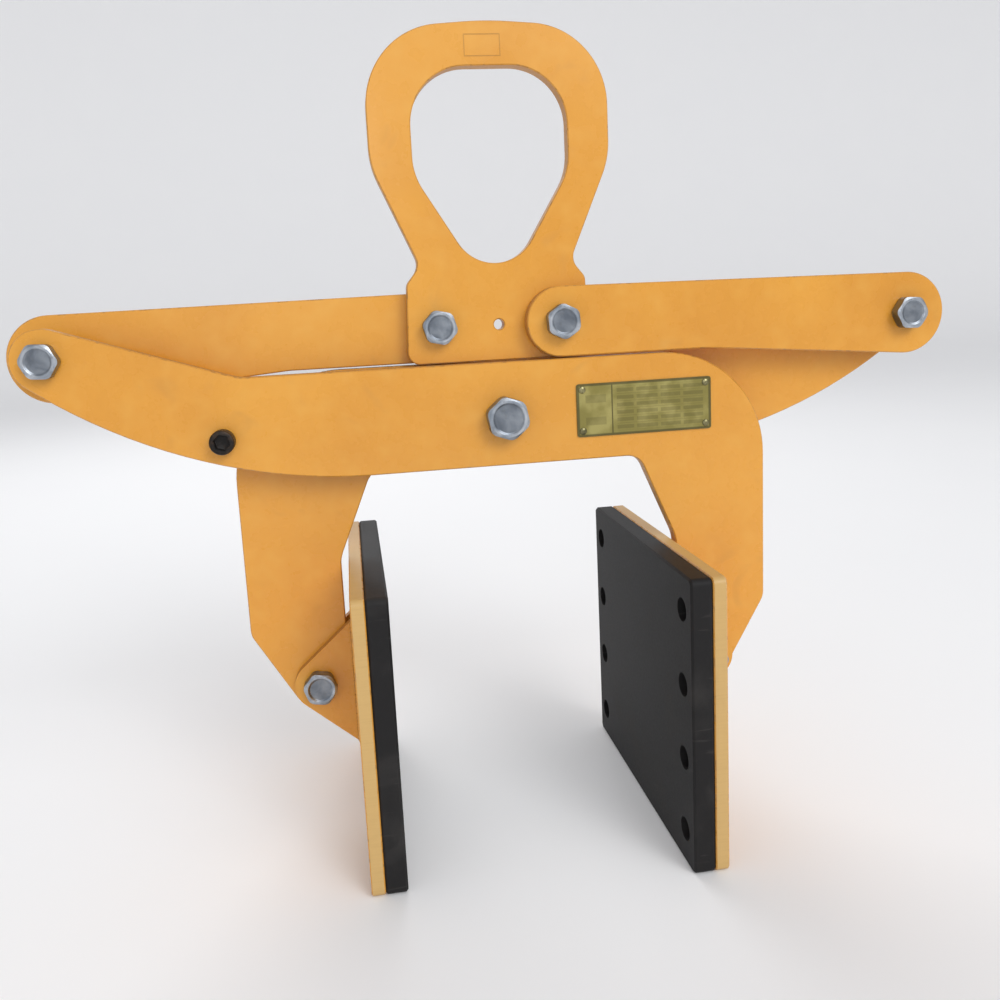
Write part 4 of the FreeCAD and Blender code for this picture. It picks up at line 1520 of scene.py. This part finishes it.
@dataclass
class Studio:
    """Floor, light and camera."""

    position: Place = (-0.1151, -0.6967, 0.4083)
    turn: Place = (80.75, 2.93, -8.53)
    lens: float = 32.74
    sensor: float = 36.0
    shift: Span = (0.0167, -0.0471)
    lamps: tuple[Lamp, ...] = (
        Lamp("key", (1.5, -1.9, 2.2), size=1.8, power=17.0),
        Lamp("fill", (-2.0, -1.6, 1.2), size=2.4, power=3.0),
        Lamp("back", (-0.3, 2.2, 2.4), size=2.2, power=28.0),
        Lamp("window", (-0.35, -1.9, 0.85), size=0.7, power=3.6),
    )
    aim: Place = (0.0, 0.0, 0.3)
    sun_power: float = 0.94
    sun_angle: float = 30.0
    sun_place: Place = (0.0, 0.0, 3.0)
    sun_way: Place = (-0.36, 0.88, -0.58)
    surround: Colour = (0.95, 0.96, 1.0)
    surround_strength: float = 0.50
    floor_reach: float = 24.0
    floor_back: float = 5.0
    cove_radius: float = 3.0
    cove_steps: int = 16
    wall_height: float = 12.0

    def floor(self, shop: Shop) -> None:
        """A pale floor that curves up into a wall far behind.

        Args:
            shop: where the finishes come from.
        """
        profile = [(-self.floor_reach, 0.0), (self.floor_back, 0.0)]
        for number in range(1, self.cove_steps + 1):
            angle = math.radians(90.0) * number / self.cove_steps
            away, up = math.sin(angle), 1.0 - math.cos(angle)
            profile.append((self.floor_back + self.cove_radius * away, self.cove_radius * up))
        profile.append((self.floor_back + self.cove_radius, self.wall_height))
        work = bmesh.new()
        ends = (-self.floor_reach, self.floor_reach)
        rows = [[work.verts.new((x, y, z)) for x in ends] for y, z in profile]
        for lower, upper in zip(rows, rows[1:]):
            work.faces.new((lower[0], lower[1], upper[1], upper[0]))
        mesh = poured(work, bpy.data.meshes.new("studio_floor"))
        solid(mesh, [shop.take(StudioFloor())])

    def lights(self) -> None:
        """Soft light from above and both sides, and a pale surround."""
        for lamp in self.lamps:
            light = bpy.data.lights.new(lamp.name, "AREA")
            light.shape = "DISK"
            light.size = lamp.size
            light.energy = lamp.power
            self._hang(light, Vector(lamp.place), Vector(self.aim) - Vector(lamp.place))
        sky = bpy.data.lights.new("skylight", "SUN")
        sky.energy = self.sun_power
        sky.angle = math.radians(self.sun_angle)
        self._hang(sky, Vector(self.sun_place), Vector(self.sun_way))
        world = bpy.data.worlds.new("surround")
        world.use_nodes = True
        board = Board(world.node_tree)
        inputs = {"Color": (*self.surround, 1.0), "Strength": self.surround_strength}
        board.node("ShaderNodeOutputWorld", {}, {"Surface": board.wire("ShaderNodeBackground", {}, inputs)})
        bpy.context.scene.world = world

    @staticmethod
    def _hang(light: Light, place: Vector, aim: Vector) -> None:
        """Put a light in the scene.

        Args:
            light: the light.
            place: where it hangs.
            aim: the direction that it shines in.
        """
        lamp = bpy.data.objects.new(light.name, light)
        lamp.location = place
        lamp.rotation_euler = aim.to_track_quat("-Z", "Y").to_euler()
        bpy.context.scene.collection.objects.link(lamp)

    def camera(self) -> None:
        """A camera where the photographer stood, with plain photographic colour."""
        bpy.context.scene.view_settings.view_transform = "Standard"
        eye = bpy.data.cameras.new("camera")
        eye.lens = self.lens
        eye.sensor_width = self.sensor
        eye.sensor_fit = "HORIZONTAL"
        eye.shift_x, eye.shift_y = self.shift
        holder = bpy.data.objects.new("camera", eye)
        holder.location = self.position
        holder.rotation_euler = Euler([math.radians(angle) for angle in self.turn], "XYZ")
        bpy.context.scene.collection.objects.link(holder)
        bpy.context.scene.camera = holder


def main() -> None:
    """Build the clamp, sub-assembly by sub-assembly, and the studio round it."""
    logging.basicConfig(level=logging.INFO, format="%(message)s")
    shop = Shop()
    parts: list[SubAssembly] = [
        CentrePivot("centre_pivot", shop), FrontArm("front_arm", shop), ArmAssembly("back_arm", shop),
        LiftingRing("lifting_ring", shop),
    ]
    for side in Side:
        parts += [
            LinkAssembly(f"{side.word}_link", shop, side=side), GripPad(f"{side.word}_pad", shop, side=side)
        ]
    for part in parts:
        part.build()
        LOG.info("%s holds %d dressed pieces", part.body, part.count)
    studio = Studio()
    studio.floor(shop)
    studio.lights()
    studio.camera()


if __name__ == "__main__":
    main()
